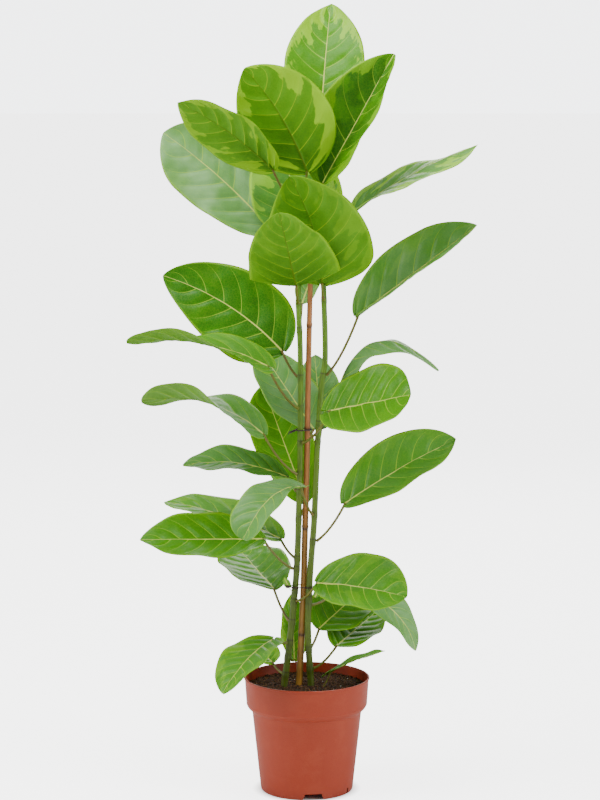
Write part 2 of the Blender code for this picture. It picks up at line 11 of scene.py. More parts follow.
import bmesh
import bpy
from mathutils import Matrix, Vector, noise as hills

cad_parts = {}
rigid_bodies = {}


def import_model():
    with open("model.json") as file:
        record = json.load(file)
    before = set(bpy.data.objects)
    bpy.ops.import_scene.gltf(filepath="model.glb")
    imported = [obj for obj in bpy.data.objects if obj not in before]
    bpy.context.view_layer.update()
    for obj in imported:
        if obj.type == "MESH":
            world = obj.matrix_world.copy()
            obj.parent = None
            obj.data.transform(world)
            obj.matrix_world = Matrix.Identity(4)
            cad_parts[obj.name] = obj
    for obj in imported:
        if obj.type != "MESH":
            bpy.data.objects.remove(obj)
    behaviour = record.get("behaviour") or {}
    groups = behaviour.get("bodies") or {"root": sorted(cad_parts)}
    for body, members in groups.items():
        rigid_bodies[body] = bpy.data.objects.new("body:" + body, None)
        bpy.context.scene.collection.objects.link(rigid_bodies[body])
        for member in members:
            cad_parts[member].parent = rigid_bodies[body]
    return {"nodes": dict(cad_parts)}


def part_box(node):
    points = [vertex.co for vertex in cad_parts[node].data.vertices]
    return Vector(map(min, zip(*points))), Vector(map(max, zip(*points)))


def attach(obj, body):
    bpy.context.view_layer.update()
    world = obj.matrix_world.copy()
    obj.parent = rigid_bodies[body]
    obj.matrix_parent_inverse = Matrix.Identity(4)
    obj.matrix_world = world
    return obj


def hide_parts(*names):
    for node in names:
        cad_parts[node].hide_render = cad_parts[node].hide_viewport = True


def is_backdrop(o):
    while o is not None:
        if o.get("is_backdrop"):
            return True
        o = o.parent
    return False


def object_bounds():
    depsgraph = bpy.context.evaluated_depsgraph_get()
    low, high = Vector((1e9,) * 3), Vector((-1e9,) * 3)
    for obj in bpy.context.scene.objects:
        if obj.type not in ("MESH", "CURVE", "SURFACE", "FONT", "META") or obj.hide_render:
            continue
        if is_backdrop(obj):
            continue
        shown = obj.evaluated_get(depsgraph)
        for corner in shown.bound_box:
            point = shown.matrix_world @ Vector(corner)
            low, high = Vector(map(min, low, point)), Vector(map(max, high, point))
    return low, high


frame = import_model()
cad_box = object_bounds()
print("CAD nodes:", len(frame["nodes"]), "box:", [[round(v, 4) for v in p] for p in cad_box])

POT_LOW, POT_HIGH = (Vector(p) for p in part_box("pot"))
POT_HEIGHT = POT_HIGH.z
SOIL_BELOW_RIM = 0.016
SOIL_LEVEL = POT_HEIGHT - SOIL_BELOW_RIM
print("pot height", round(POT_HEIGHT, 4), "soil level", round(SOIL_LEVEL, 4))

# %% [markdown]
# ## Camera, floor and light
# The plant is seen from its own middle height and a little above, with a long lens, so the pot's
# rim is a flat ellipse and the verticals stay nearly parallel. The studio is white: a broad soft
# panel at each side and one overhead give the leaves glossy reflections, and a pale blue-white
# painted sheen in the leaf colour adds to them. The air and the floor shine more for the camera
# than for the plant, except under the pot, where a painted shadow keeps the floor dark.

# %% The camera
CAMERA_PLACE = (-0.0114, -4.5, 1.3)
LOOKS_DOWN = 8.1  # degrees
LENS = 123.9
SENSOR_WIDTH = 36.0


def placed(name, data):
    """A new object at the origin of the scene."""
    made = bpy.data.objects.new(name, data)
    bpy.context.scene.collection.objects.link(made)
    return made


camera_data = bpy.data.cameras.new("studio_camera")
camera_data.sensor_width = SENSOR_WIDTH
camera_data.lens = LENS
camera = placed("studio_camera", camera_data)
camera.location = CAMERA_PLACE
camera.rotation_euler = (math.radians(90 - LOOKS_DOWN), 0.0, 0.0)
bpy.context.scene.camera = camera
print("camera at", tuple(camera.location), "lens", camera_data.lens)


# %% Floor and soft lights
FLOOR_HALF = 30.0
FLOOR_SEEN = 3.8
AIR_LIGHT = 0.42
AIR_SEEN = 4.6
DARK_UNDER_POT = (0.072, 0.092)
PLANT_MIDDLE = (0.0, 0.0, 0.7)


def plain_material(name, colour, roughness):
    made = bpy.data.materials.new(name)
    made.use_nodes = True
    shader = made.node_tree.nodes["Principled BSDF"]
    shader.inputs["Base Color"].default_value = (*colour, 1.0)
    shader.inputs["Roughness"].default_value = roughness
    return made


floor_mesh = bpy.data.meshes.new("studio_floor")
floor_mesh.from_pydata([(-FLOOR_HALF, -FLOOR_HALF, 0), (FLOOR_HALF, -FLOOR_HALF, 0),
    (FLOOR_HALF, FLOOR_HALF, 0), (-FLOOR_HALF, FLOOR_HALF, 0)], [], [(0, 1, 2, 3)])
floor_paper = plain_material("floor_paper", (0.90, 0.90, 0.90), 0.9)
floor_mesh.materials.append(floor_paper)
floor = placed("studio_floor", floor_mesh)
floor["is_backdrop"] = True

world = bpy.data.worlds.new("studio_air")
world.use_nodes = True
bpy.context.scene.world = world


def brighter_to_the_camera(tree, lit, seen, socket, dark_within=None):
    """A strength that the camera sees as one value while it lights the plant as another.

    dark_within is two distances from the axis, between which the seen value fades in from dark:
    this is a painted shadow on the floor.
    """
    path = tree.nodes.new("ShaderNodeLightPath")
    mix = tree.nodes.new("ShaderNodeMapRange")
    mix.inputs["To Min"].default_value = lit
    mix.inputs["To Max"].default_value = seen
    if dark_within:
        place = tree.nodes.new("ShaderNodeTexCoord")
        reach = tree.nodes.new("ShaderNodeVectorMath")
        reach.operation = "LENGTH"
        tree.links.new(place.outputs["Object"], reach.inputs[0])
        shade = tree.nodes.new("ShaderNodeMapRange")
        shade.inputs["From Min"].default_value, shade.inputs["From Max"].default_value = dark_within
        shade.inputs["To Max"].default_value = seen
        tree.links.new(reach.outputs["Value"], shade.inputs["Value"])
        tree.links.new(shade.outputs["Result"], mix.inputs["To Max"])
    tree.links.new(path.outputs["Is Camera Ray"], mix.inputs["Value"])
    tree.links.new(mix.outputs["Result"], socket)


air = world.node_tree.nodes["Background"]
air.inputs["Color"].default_value = (0.97, 0.985, 1.0, 1.0)
brighter_to_the_camera(world.node_tree, AIR_LIGHT, AIR_SEEN, air.inputs["Strength"])
paper = floor_paper.node_tree.nodes["Principled BSDF"]
paper.inputs["Emission Color"].default_value = (1.0, 1.0, 1.0, 1.0)
# The floor shines evenly for the camera, but a painted shadow darkens it under the pot.
brighter_to_the_camera(floor_paper.node_tree, 0.0, FLOOR_SEEN, paper.inputs["Emission Strength"],
    DARK_UNDER_POT)


def soft_panel(name, place, aim, width, height, power, colour):
    """A rectangular softbox at a place, turned to face a point."""
    data = bpy.data.lights.new(name, "AREA")
    data.shape = "RECTANGLE"
    data.size = width
    data.size_y = height
    data.energy = power
    data.color = colour
    panel = placed(name, data)
    panel.location = place
    panel.rotation_euler = (Vector(aim) - Vector(place)).to_track_quat("-Z", "Y").to_euler()


soft_panel("panel_overhead", (-0.6, -0.4, 3.0), PLANT_MIDDLE, 1.6, 1.6, 56.0, (1.0, 1.0, 0.98))
soft_panel("panel_left", (-2.6, -1.0, 1.7), PLANT_MIDDLE, 1.0, 2.0, 66.0, (1.0, 0.99, 0.97))
soft_panel("panel_right", (2.4, -1.2, 1.5), PLANT_MIDDLE, 0.9, 1.9, 58.0, (0.97, 0.99, 1.0))
soft_panel("panel_behind", (0.5, 2.8, 2.0), PLANT_MIDDLE, 2.0, 1.6, 40.0, (1.0, 1.0, 0.95))

# %% [markdown]
# ## Formulas as nodes
# A leaf's shape and its colour both follow formulas. Node trees are easiest to write when a
# socket can be added and multiplied like a number, so this small class does only that, and it
# works in geometry trees and shader trees alike.


# %% A number or vector in a node tree
class Field:
    """A socket in a node tree that takes part in arithmetic."""

    def __init__(self, tree, socket):
        self.tree = tree
        self.socket = socket

    def maths(self, operation, *others, first=None):
        node = self.tree.nodes.new("ShaderNodeMath")
        node.operation = operation
        for slot, value in enumerate((self if first is None else first, *others)):
            plug(self.tree, value, node.inputs[slot])
        return Field(self.tree, node.outputs[0])

    def vector(self, operation, *others, scale=None):
        node = self.tree.nodes.new("ShaderNodeVectorMath")
        node.operation = operation
        for slot, value in enumerate((self, *others)):
            plug(self.tree, value, node.inputs[slot])
        if scale is not None:
            plug(self.tree, scale, node.inputs["Scale"])
        out = "Value" if operation in ("DOT_PRODUCT", "LENGTH", "DISTANCE") else "Vector"
        return Field(self.tree, node.outputs[out])

    def __add__(self, other): return self.maths("ADD", other)
    def __radd__(self, other): return self.maths("ADD", other)
    def __sub__(self, other): return self.maths("SUBTRACT", other)
    def __rsub__(self, other): return self.maths("SUBTRACT", self, first=other)
    def __mul__(self, other): return self.maths("MULTIPLY", other)
    def __rmul__(self, other): return self.maths("MULTIPLY", other)
    def __truediv__(self, other): return self.maths("DIVIDE", other)
    def __pow__(self, other): return self.maths("POWER", other)

    def call(self, name): return self.maths(name.upper())
    def at_least(self, low): return self.maths("MAXIMUM", low)
    def at_most(self, high): return self.maths("MINIMUM", high)
    def between(self): return self.at_least(0.0).at_most(1.0)
    def plus(self, other): return self.vector("ADD", other)
    def minus(self, other): return self.vector("SUBTRACT", other)
    def times(self, scale): return self.vector("SCALE", scale=scale)
    def dot(self, other): return self.vector("DOT_PRODUCT", other)
    def cross(self, other): return self.vector("CROSS_PRODUCT", other)
    def unit(self): return self.vector("NORMALIZE")

    def parts(self):
        node = self.tree.nodes.new("ShaderNodeSeparateXYZ")
        plug(self.tree, self, node.inputs[0])
        return [Field(self.tree, out) for out in node.outputs]

    def ramp(self, low, high, start=0.0, end=1.0):
        """A smooth step from start to end as the value goes from low to high."""
        node = self.tree.nodes.new("ShaderNodeMapRange")
        node.interpolation_type = "SMOOTHSTEP"
        for slot, value in enumerate((self, low, high, start, end)):
            plug(self.tree, value, node.inputs[slot])
        return Field(self.tree, node.outputs[0])


def plug(tree, value, socket):
    """Link a field, or set a plain value, on a node's input."""
    if isinstance(value, Field):
        tree.links.new(value.socket, socket)
    else:
        socket.default_value = value


def joined(tree, x, y, z):
    node = tree.nodes.new("ShaderNodeCombineXYZ")
    for slot, value in enumerate((x, y, z)):
        plug(tree, value, node.inputs[slot])
    return Field(tree, node.outputs[0])


def step(tree, kind, links=None, out=0, **settings):
    """Any other node: its settings, its inputs by name or number, and one output as a field."""
    node = tree.nodes.new(kind)
    for key, value in settings.items():
        setattr(node, key, value)
    for key, value in (links or {}).items():
        plug(tree, value, node.inputs[key])
    return Field(tree, node.outputs[out])


def noise(tree, place, scale, detail, out=0):
    """Smooth noise; output 0 is a number from 0 to 1 and output 1 a colour to use as a vector."""
    return step(tree, "ShaderNodeTexNoise", {"Vector": place, "Scale": scale, "Detail": detail}, out)


def blend(tree, amount, a, b, how="MIX"):
    """Two colours, mixed by an amount."""
    node = tree.nodes.new("ShaderNodeMix")
    node.data_type = "RGBA"
    node.blend_type = how
    plug(tree, amount, node.inputs["Factor"])
    plug(tree, a, node.inputs[6])
    plug(tree, b, node.inputs[7])
    return Field(tree, node.outputs[2])


def new_skin(name, colour, roughness):
    """A plain material to be painted: itself, its tree, its shader and the place on the object."""
    skin = plain_material(name, colour, roughness)
    tree = skin.node_tree
    return skin, tree, tree.nodes["Principled BSDF"], step(tree, "ShaderNodeTexCoord", out="Object")


def painted(tree, colour, strength, depth, height):
    """Gives the material's shader a colour, and a bump that follows a height."""
    shader = tree.nodes["Principled BSDF"]
    bump = step(tree, "ShaderNodeBump", {"Strength": strength, "Distance": depth, "Height": height})
    plug(tree, colour, shader.inputs["Base Color"])
    plug(tree, bump, shader.inputs["Normal"])


def stored(tree, geometry, label, value, kind="FLOAT_VECTOR", domain="POINT"):
    """The geometry with a value kept under a name."""
    links = {"Geometry": geometry, "Name": label, "Value": value}
    return step(tree, "GeometryNodeStoreNamedAttribute", links, data_type=kind, domain=domain)


def skinned(tree, geometry, skin):
    return step(tree, "GeometryNodeSetMaterial", {"Geometry": geometry, "Material": skin})


def gathered(tree, layers):
    """Several pieces of geometry as one."""
    whole = tree.nodes.new("GeometryNodeJoinGeometry")
    for layer in layers:
        tree.links.new(layer.socket, whole.inputs[0])
    return Field(tree, whole.outputs[0])


def new_tree(name, kind, takes, gives):
    """A node group with named inputs and outputs, and its inputs as fields."""
    tree = bpy.data.node_groups.new(name, kind)
    for label, socket_type, default in takes:
        made = tree.interface.new_socket(label, in_out="INPUT", socket_type=socket_type)
        if default is not None:
            made.default_value = default
    for label, socket_type in gives:
        tree.interface.new_socket(label, in_out="OUTPUT", socket_type=socket_type)
    start = tree.nodes.new("NodeGroupInput")
    end = tree.nodes.new("NodeGroupOutput")
    return tree, {out.name: Field(tree, out) for out in start.outputs if out.name}, end


FLOAT, VECTOR = "NodeSocketFloat", "NodeSocketVector"
GEOMETRY, SURFACE, WHOLE = "NodeSocketGeometry", "NodeSocketMaterial", "NodeSocketInt"


def keep_used_slots(mesh):
    """Drops the empty material slots that joined pieces leave behind."""
    slots = [0] * len(mesh.polygons)
    mesh.polygons.foreach_get("material_index", slots)
    used = sorted(set(slots))
    kept = [mesh.materials[i] for i in used]
    mesh.materials.clear()
    for surface in kept:
        mesh.materials.append(surface)
    mesh.polygons.foreach_set("material_index", [used.index(i) for i in slots])


def run_tree(name, tree, mesh, values):
    """Runs a geometry tree on a mesh and keeps the result as a plain object at the origin."""
    source = placed(name + "_source", mesh)
    modifier = source.modifiers.new("build", "NODES")
    modifier.node_group = tree
    sockets = {item.name: item.identifier for item in tree.interface.items_tree
        if item.item_type == "SOCKET" and item.in_out == "INPUT"}
    for key, value in values.items():
        modifier[sockets[key]] = value
    bpy.context.view_layer.update()
    made = bpy.data.meshes.new_from_object(source.evaluated_get(bpy.context.evaluated_depsgraph_get()))
    bpy.data.objects.remove(source)
    made.name = name
    keep_used_slots(made)
    return placed(name, made)


print("node helpers ready")

# %% [markdown]
# ## Where everything grows
# The two stems, the cane and the leaves follow a short list of numbers, the same ones
# that the CAD frame was made from: where each leaf leaves its stem, the vector along its stalk,
# the vector from the blade's base to its tip, its width and the way its upper side looks. Metres
# and degrees throughout, and heights are counted from the soil surface.

# %% Routes of the stems and the cane
STEM_RADIUS_FOOT = 0.0056
STEM_RADIUS_TOP = 0.0040
NODE_SWELLING = 1.12
BUD_LENGTH = 0.030
CANE_RADIUS_FOOT = 0.0057
CANE_RADIUS_TOP = 0.0042
CANE_RING = 0.0007
STEM_GAP = 0.0006
CLEARANCE = 0.0003
SOIL_HUMP = 0.003
# Routes from the soil surface upward, as (x, y, height above the soil)
STEM_LEFT_ROUTE = [
    (-0.038, 0.000, 0.000), (-0.028, 0.000, 0.080), (-0.021, 0.000, 0.150), (-0.016, 0.000, 0.215),
    (-0.013, 0.000, 0.315), (-0.011, 0.000, 0.400), (-0.011, 0.000, 0.565), (-0.014, 0.000, 0.650),
    (-0.010, 0.000, 0.730), (-0.005, 0.000, 0.820),
]
STEM_RIGHT_ROUTE = [
    (0.007, 0.000, 0.000), (0.002, -0.003, 0.095), (0.004, -0.004, 0.165), (0.007, -0.004, 0.215),
    (0.012, -0.002, 0.280), (0.018, 0.000, 0.415), (0.025, 0.000, 0.515), (0.030, 0.000, 0.550),
    (0.028, 0.000, 0.650), (0.025, 0.000, 0.765), (0.021, 0.000, 0.900),
]
CANE_ROUTE = [
    (-0.013, 0.005, 0.000), (-0.006, 0.005, 0.150), (-0.003, 0.005, 0.265),
    (0.000, 0.005, 0.385), (0.002, 0.005, 0.515), (0.006, 0.005, 0.700),
]
CANE_NODES = (0.090, 0.270, 0.437, 0.608)
print("routes:", len(STEM_LEFT_ROUTE), len(STEM_RIGHT_ROUTE), len(CANE_ROUTE))


# %% The leaf table
def leaf(stem, height, petiole, blade, width, facing, tone, arch=0.0, sway=0.0, twist=0.0,
        fold=8.0, unfold=0.0, cup=8.0, widest=0.42, point=0.75, lobe=0.03):
    """One leaf.

    stem is left, right or soil, height is where it leaves the stem, and for soil an (x, y) place.
    petiole is the vector along the stalk and blade the one from the blade's base to its tip.
    facing is the heading and elevation of the side that looks up, in degrees, with 90 at +Y.
    tone is how young it is, its share of lime patches and the strength of its painted sheen, a pale
    painted reflection of the soft lights; below 0 it gives a deep green blotch instead.
    arch and sway bow the midrib towards that side and to its left, twist turns the blade about
    the midrib, fold and cup lift the margins and unfold is how much less they lift at the tip,
    widest is where along the blade it is widest, point is the sharpness of the tip (0.5 is round)
    and lobe is how far the base reaches back past the stalk, as a share of the length.
    """
    return dict(locals())


rows = [
    # Crown
    leaf("right", 0.885, (0.001, 0.015, 0.066), (0.017, 0.110, 0.180), 0.136, (268, 35),
         (0.62, 0.70, 0.00), arch=0.010, widest=0.38, point=0.85),
    leaf("right", 0.790, (0.001, -0.012, 0.053), (0.115, 0.010, 0.208), 0.140, (236, 10),
         (0.50, 0.35, -0.60), fold=28, cup=20),
    leaf("left", 0.802, (0.005, -0.040, 0.062), (-0.100, -0.030, 0.165), 0.156, (90, 15),
         (1.00, 1.00, 0.00), sway=0.010),
    leaf("left", 0.795, (-0.046, -0.052, 0.072), (-0.150, -0.050, 0.109), 0.098, (95, 45),
         (0.85, 0.70, 0.00), arch=0.006, sway=0.006, fold=-10, cup=0, widest=0.50),
    leaf("left", 0.728, (-0.045, 0.060, 0.030), (-0.182, 0.050, 0.160), 0.135, (262, 22),
         (0.40, 0.10, 0.70), sway=-0.008, widest=0.66),
    leaf("right", 0.650, (-0.003, -0.020, 0.030), (-0.053, -0.100, 0.180), 0.180, (90, 30),
         (0.85, 0.25, 0.00), sway=0.012, widest=0.20, point=0.80),
    leaf("left", 0.645, (-0.003, -0.032, 0.032), (-0.027, -0.150, 0.130), 0.152, (90, 45),
         (0.80, 0.15, 0.00), widest=0.05, point=0.80, lobe=0.0),
    leaf("left", 0.735, (-0.002, 0.040, 0.020), (-0.030, 0.050, 0.165), 0.144, (270, 15),
         (0.40, 0.60, 0.15)),
    leaf("right", 0.735, (-0.004, 0.085, 0.010), (-0.012, 0.070, 0.145), 0.090, (275, 30),
         (0.60, 0.60, 0.00)),
    leaf("left", 0.600, (0.004, 0.035, 0.040), (0.022, 0.060, 0.060), 0.040, (270, 60),
         (0.50, 0.20, 0.30)),
    # Right side, from the top down
    leaf("right", 0.738, (0.045, 0.000, 0.055), (0.200, -0.040, 0.112), 0.105, (270, 75),
         (0.60, 0.90, 0.25), arch=0.010, fold=0, unfold=50, cup=0),
    leaf("right", 0.524, (0.053, 0.005, 0.100), (0.193, -0.020, 0.150), 0.120, (268, 62),
         (0.50, 0.15, 0.32), fold=30, unfold=12, cup=6, widest=0.50),
    leaf("right", 0.445, (0.024, 0.020, 0.043), (0.170, -0.025, 0.045), 0.080, (270, 80),
         (0.35, 0.00, 0.45), arch=0.074, fold=-20, unfold=-30, cup=0, lobe=0.10),
    leaf("left", 0.412, (0.046, -0.050, 0.062), (0.128, -0.070, 0.036), 0.134, (275, 42),
         (0.50, 0.05, 0.00), widest=0.58, point=0.5, lobe=0.14),
    leaf("right", 0.247, (0.048, 0.000, 0.064), (0.185, 0.030, 0.103), 0.112, (270, 50),
         (0.42, 0.10, 0.10), arch=0.008, fold=20, cup=6, widest=0.54),
    # Left side, from the top down
    leaf("left", 0.522, (-0.026, 0.012, 0.042), (-0.198, 0.045, 0.120), 0.142, (262, 22),
         (0.12, 0.05, 0.00), sway=-0.016, fold=0, cup=6, widest=0.34),
    leaf("left", 0.470, (-0.050, -0.055, 0.078), (-0.228, -0.020, 0.042), 0.110, (90, 86),
         (0.50, 0.10, 0.06), arch=0.018, twist=70, lobe=0.06),
    leaf("left", 0.412, (0.020, 0.034 + CANE_RADIUS_FOOT, 0.016), (-0.096, 0.125, 0.125), 0.095,
         (272, 50), (0.30, 0.00, 0.45)),
    leaf("right", 0.415, (0.006, 0.078, 0.010), (-0.011, 0.070, 0.114), 0.080, (270, 45),
         (0.30, 0.00, 0.40)),
    leaf("left", 0.285, (0.010, 0.050, 0.020), (-0.072, 0.070, 0.187), 0.105, (272, 25),
         (0.75, 0.10, 0.00), widest=0.66),
    leaf("left", 0.360, (-0.055, -0.030, 0.072), (-0.200, 0.000, 0.054), 0.112, (90, 84),
         (0.50, 0.00, 0.25), arch=0.026, twist=90, widest=0.56),
    leaf("left", 0.330, (-0.016, 0.014, 0.022), (-0.174, 0.015, 0.016), 0.088, (270, 72),
         (0.26, 0.00, 0.14), arch=0.016, widest=0.62),
    leaf("right", 0.292, (-0.020, -0.036, 0.054), (-0.092, -0.110, -0.068), 0.080, (240, 45),
         (0.25, 0.00, 0.42), arch=0.028, fold=16, widest=0.76, point=0.5, lobe=0.10),
    leaf("left", 0.218, (-0.024, 0.022, 0.028), (-0.198, 0.080, 0.048), 0.100, (270, 76),
         (0.50, 0.20, 0.10), arch=0.010),
    leaf("left", 0.200, (-0.050, -0.006, 0.052), (-0.202, -0.040, 0.006), 0.110, (268, 56),
         (0.38, 0.05, 0.00), widest=0.50),
    leaf("left", 0.110, (-0.026, 0.025, 0.050), (-0.062, 0.160, 0.036), 0.118, (270, 72),
         (0.50, 0.05, 0.06), widest=0.62, point=0.5),
    leaf("left", 0.075, (-0.024, -0.020, 0.010), (-0.080, -0.120, -0.062), 0.096, (232, 52),
         (0.45, 0.25, 0.05), arch=0.010, lobe=0.05),
    leaf("left", 0.020, (-0.018, 0.016, 0.016), (-0.040, 0.070, 0.018), 0.055, (270, 65),
         (0.80, 0.40, 0.10), lobe=0.08),
    leaf("left", 0.050, (0.009, 0.035, -0.016), (-0.004, 0.050, 0.105), 0.050, (290, 15),
         (0.90, 0.60, 0.00)),
    # Low on the right
    leaf("left", 0.146, (0.034, -0.036, 0.038), (0.146, -0.065, -0.010), 0.118, (272, 44),
         (0.48, 0.15, 0.05), arch=0.008, fold=18, cup=6, widest=0.60, point=0.6),
    leaf("right", 0.065, (0.014, 0.020, 0.028), (0.092, 0.100, 0.061), 0.105, (268, 50),
         (0.66, 0.05, 0.00)),
    leaf("right", 0.030, (0.039, 0.006, 0.038), (0.075, 0.120, 0.036), 0.086, (268, 58),
         (0.55, 0.15, 0.00)),
    leaf("right", 0.138, (0.050, 0.040, 0.026), (0.126, 0.010, -0.116), 0.060, (270, 50),
         (0.35, 0.00, 0.45), arch=0.045),
    leaf("soil", (0.027, -0.010), (0.012, 0.004, 0.024), (0.090, -0.050, 0.048), 0.036, (268, 80),
         (0.50, 0.10, 0.15), arch=0.004, lobe=0.18),
    # Young leaves still opening
    leaf("right", 0.150, (0.005, -0.004, 0.004), (0.012, -0.004, 0.024), 0.012, (270, 20),
         (0.80, 0.00, 0.20)),
    leaf("left", 0.163, (-0.005, -0.004, 0.006), (-0.008, -0.002, 0.018), 0.012, (270, 20),
         (0.80, 0.00, 0.20)),
]
LEAVES = {f"leaf_{number:02d}": row for number, row in enumerate(rows, 1)}
print("leaves:", len(LEAVES))


# %% Places along the stems
def smooth_route(route, height):
    """The place on a route at a height, on a smooth curve through its points."""
    if height <= route[0][2]:
        return Vector((route[0][0], route[0][1], height))
    last = len(route) - 1
    k = next((i for i in range(last) if route[i + 1][2] >= height), last - 1)
    a = Vector(route[max(k - 1, 0)])
    b = Vector(route[k])
    c = Vector(route[k + 1])
    d = Vector(route[min(k + 2, last)])
    t = min((height - b.z) / (c.z - b.z), 1.0)
    bend_in = (c - a) / (c.z - a.z) * (c.z - b.z)
    bend_out = (d - b) / (d.z - b.z) * (c.z - b.z)
    h = 2 * t ** 3 - 3 * t ** 2 + 1
    place = b * h + bend_in * (t ** 3 - 2 * t ** 2 + t) + c * (1 - h) + bend_out * (t ** 3 - t ** 2)
    place.z = height
    return place


def taper(route, foot, top, height):
    share = min(max(height / route[-1][2], 0.0), 1.0)
    return foot + (top - foot) * share


def stem_radius(route, height):
    return taper(route, STEM_RADIUS_FOOT, STEM_RADIUS_TOP, height)


def cane_radius(height):
    return taper(CANE_ROUTE, CANE_RADIUS_FOOT, CANE_RADIUS_TOP, height)


def stem_place(route, height):
    """The stem's middle at a height, kept clear of the cane."""
    place = smooth_route(route, height)
    cane = smooth_route(CANE_ROUTE, height)
    if height > CANE_ROUTE[-1][2] + 0.02:
        return place
    apart = place - cane
    needed = stem_radius(route, height) * NODE_SWELLING + cane_radius(height) + CANE_RING + STEM_GAP
    if apart.length < needed:
        place = cane + apart.normalized() * needed
    return place


def direction(heading, elevation):
    h = math.radians(heading)
    e = math.radians(elevation)
    return Vector((math.cos(h) * math.cos(e), math.sin(h) * math.cos(e), math.sin(e)))


def leaf_start(entry):
    """Where the stalk leaves the stem's surface."""
    stalk = Vector(entry["petiole"])
    if entry["stem"] == "soil":
        x, y = entry["height"]
        return Vector((x, y, SOIL_LEVEL + SOIL_HUMP * 0.1 + CLEARANCE))
    route = STEM_LEFT_ROUTE if entry["stem"] == "left" else STEM_RIGHT_ROUTE
    height = entry["height"]
    out = Vector((stalk.x, stalk.y, 0)).normalized()
    reach = stem_radius(route, height) * NODE_SWELLING + CLEARANCE
    return stem_place(route, height) + out * reach + Vector((0, 0, SOIL_LEVEL))


first_start = leaf_start(LEAVES["leaf_01"])
print("leaf_01 leaves its stem at", [round(v, 4) for v in first_start])

# %% [markdown]
# ## A leaf that follows a rule
# A fig leaf is a flat ellipse with a firm midrib, six or seven pairs of side veins that curve
# towards the tip, a blade that swells between them, and an edge as thin as card. It could be
# sculpted, but thirty-six of them would take days. One geometry tree does it instead: two sheets
# of grid, the upper and the under side, are placed by the leaf's own formula, and they meet at the
# margin, so the blade is closed. The stalk is a tube along a sagging line, in the same tree.

# %% The leaf tree: its inputs and its two sheets
BLADE_THICKNESS = 0.0009
RIB_HEIGHT = 0.0016
STALK_RADIUS = 0.0021
PLEAT_DEPTH = 0.0018
WAVE_HEIGHT = 0.0026
VEIN_PAIRS = 7.0


def vein_count(pairs, s, reach, is_left):
    """Which side vein a point lies at, counted from the base; the veins curve towards the tip."""
    return pairs * (s - 0.16 * reach - 0.10 * reach * reach) + 0.45 * is_left + 0.3


leaf_tree, take, leaf_end = new_tree("fig leaf", "GeometryNodeTree", [
    ("Geometry", GEOMETRY, None), ("Start", VECTOR, None), ("Stalk", VECTOR, None),
    ("Blade", VECTOR, None), ("Facing", VECTOR, None), ("Width", FLOAT, 0.1), ("Arch", FLOAT, 0.0),
    ("Sway", FLOAT, 0.0), ("Twist", FLOAT, 0.0), ("Fold", FLOAT, 0.14), ("Unfold", FLOAT, 0.0),
    ("Cup", FLOAT, 0.14), ("Widest", FLOAT, 0.42), ("Point", FLOAT, 0.75), ("Lobe", FLOAT, 0.03),
    ("Thickness", FLOAT, BLADE_THICKNESS), ("Rib", FLOAT, RIB_HEIGHT),
    ("Stalk Radius", FLOAT, STALK_RADIUS), ("Vein Pairs", FLOAT, VEIN_PAIRS),
    ("Pleat", FLOAT, PLEAT_DEPTH), ("Wave", FLOAT, WAVE_HEIGHT),
    ("Seed", FLOAT, 0.0), ("Tone", VECTOR, None), ("Columns", WHOLE, 41), ("Rows", WHOLE, 97),
    ("Upper Side", SURFACE, None), ("Under Side", SURFACE, None), ("Stalk Skin", SURFACE, None),
], [("Geometry", GEOMETRY)])
net = leaf_tree


def sheet(side, flipped):
    grid = step(net, "GeometryNodeMeshGrid", {"Size X": 2.0, "Size Y": 1.0,
        "Vertices X": take["Columns"], "Vertices Y": take["Rows"]})
    if flipped:
        grid = step(net, "GeometryNodeFlipFaces", {"Mesh": grid})
    return stored(net, grid, "side", side, "FLOAT")


sheets = gathered(net, (sheet(1.0, False), sheet(-1.0, True)))
side = step(net, "GeometryNodeInputNamedAttribute", {"Name": "side"}, data_type="FLOAT")

grid_x, grid_y, _ = step(net, "GeometryNodeInputPosition").parts()
# s runs from base to tip and v from margin to margin, closer together towards the midrib
v = grid_x.call("sign") * grid_x.call("absolute") ** 1.35
reach = v.call("absolute")
row = grid_y + 0.5
s = 0.001 + 0.998 * (0.35 * row + 0.65 * (row * row * (3.0 - 2.0 * row)))
print("leaf tree nodes so far:", len(net.nodes))

# %% The midrib's curve and the blade's frame along it
back = take["Lobe"] * reach * (1.0 - s) ** 4.0
along = s - back
chord = take["Blade"]
base = take["Start"].plus(take["Stalk"])
chord_unit = chord.unit()
up_flat = take["Facing"].minus(chord_unit.times(take["Facing"].dot(chord_unit))).unit()
left_flat = up_flat.cross(chord_unit)
bow = up_flat.times(take["Arch"]).plus(left_flat.times(take["Sway"]))
place = base.plus(chord.times(along)).plus(bow.times(4.0 * along * (1.0 - along)))
ahead = chord.plus(bow.times(4.0 * (1.0 - 2.0 * along))).unit()
up_bent = up_flat.minus(ahead.times(up_flat.dot(ahead))).unit()
turn = {"Vector": up_bent, "Axis": ahead, "Angle": take["Twist"] * (along - 0.5)}
up = step(net, "ShaderNodeVectorRotate", turn, rotation_type="AXIS_ANGLE")
left = up.cross(ahead)

# %% The outline, the fold and the place of every point
widest = take["Widest"]
near_base = ((widest - s) / widest).at_least(0.0)
near_tip = ((s - widest) / (1.0 - widest)).at_least(0.0)
outline = (1.0 - near_base ** 2.4) ** 0.58 * (1.0 - near_tip * near_tip).at_least(0.0) ** take["Point"]
half = take["Width"] * 0.5 * outline
tilt = take["Fold"] - take["Unfold"] * (s - 0.5) + take["Cup"] * reach * 0.5
rise = tilt.call("sine")
spread = tilt.call("cosine")
flat = place.plus(left.times(half * v * spread)).plus(up.times(half * reach * rise))
normal = up.times(spread).minus(left.times(rise * v.call("sign")))

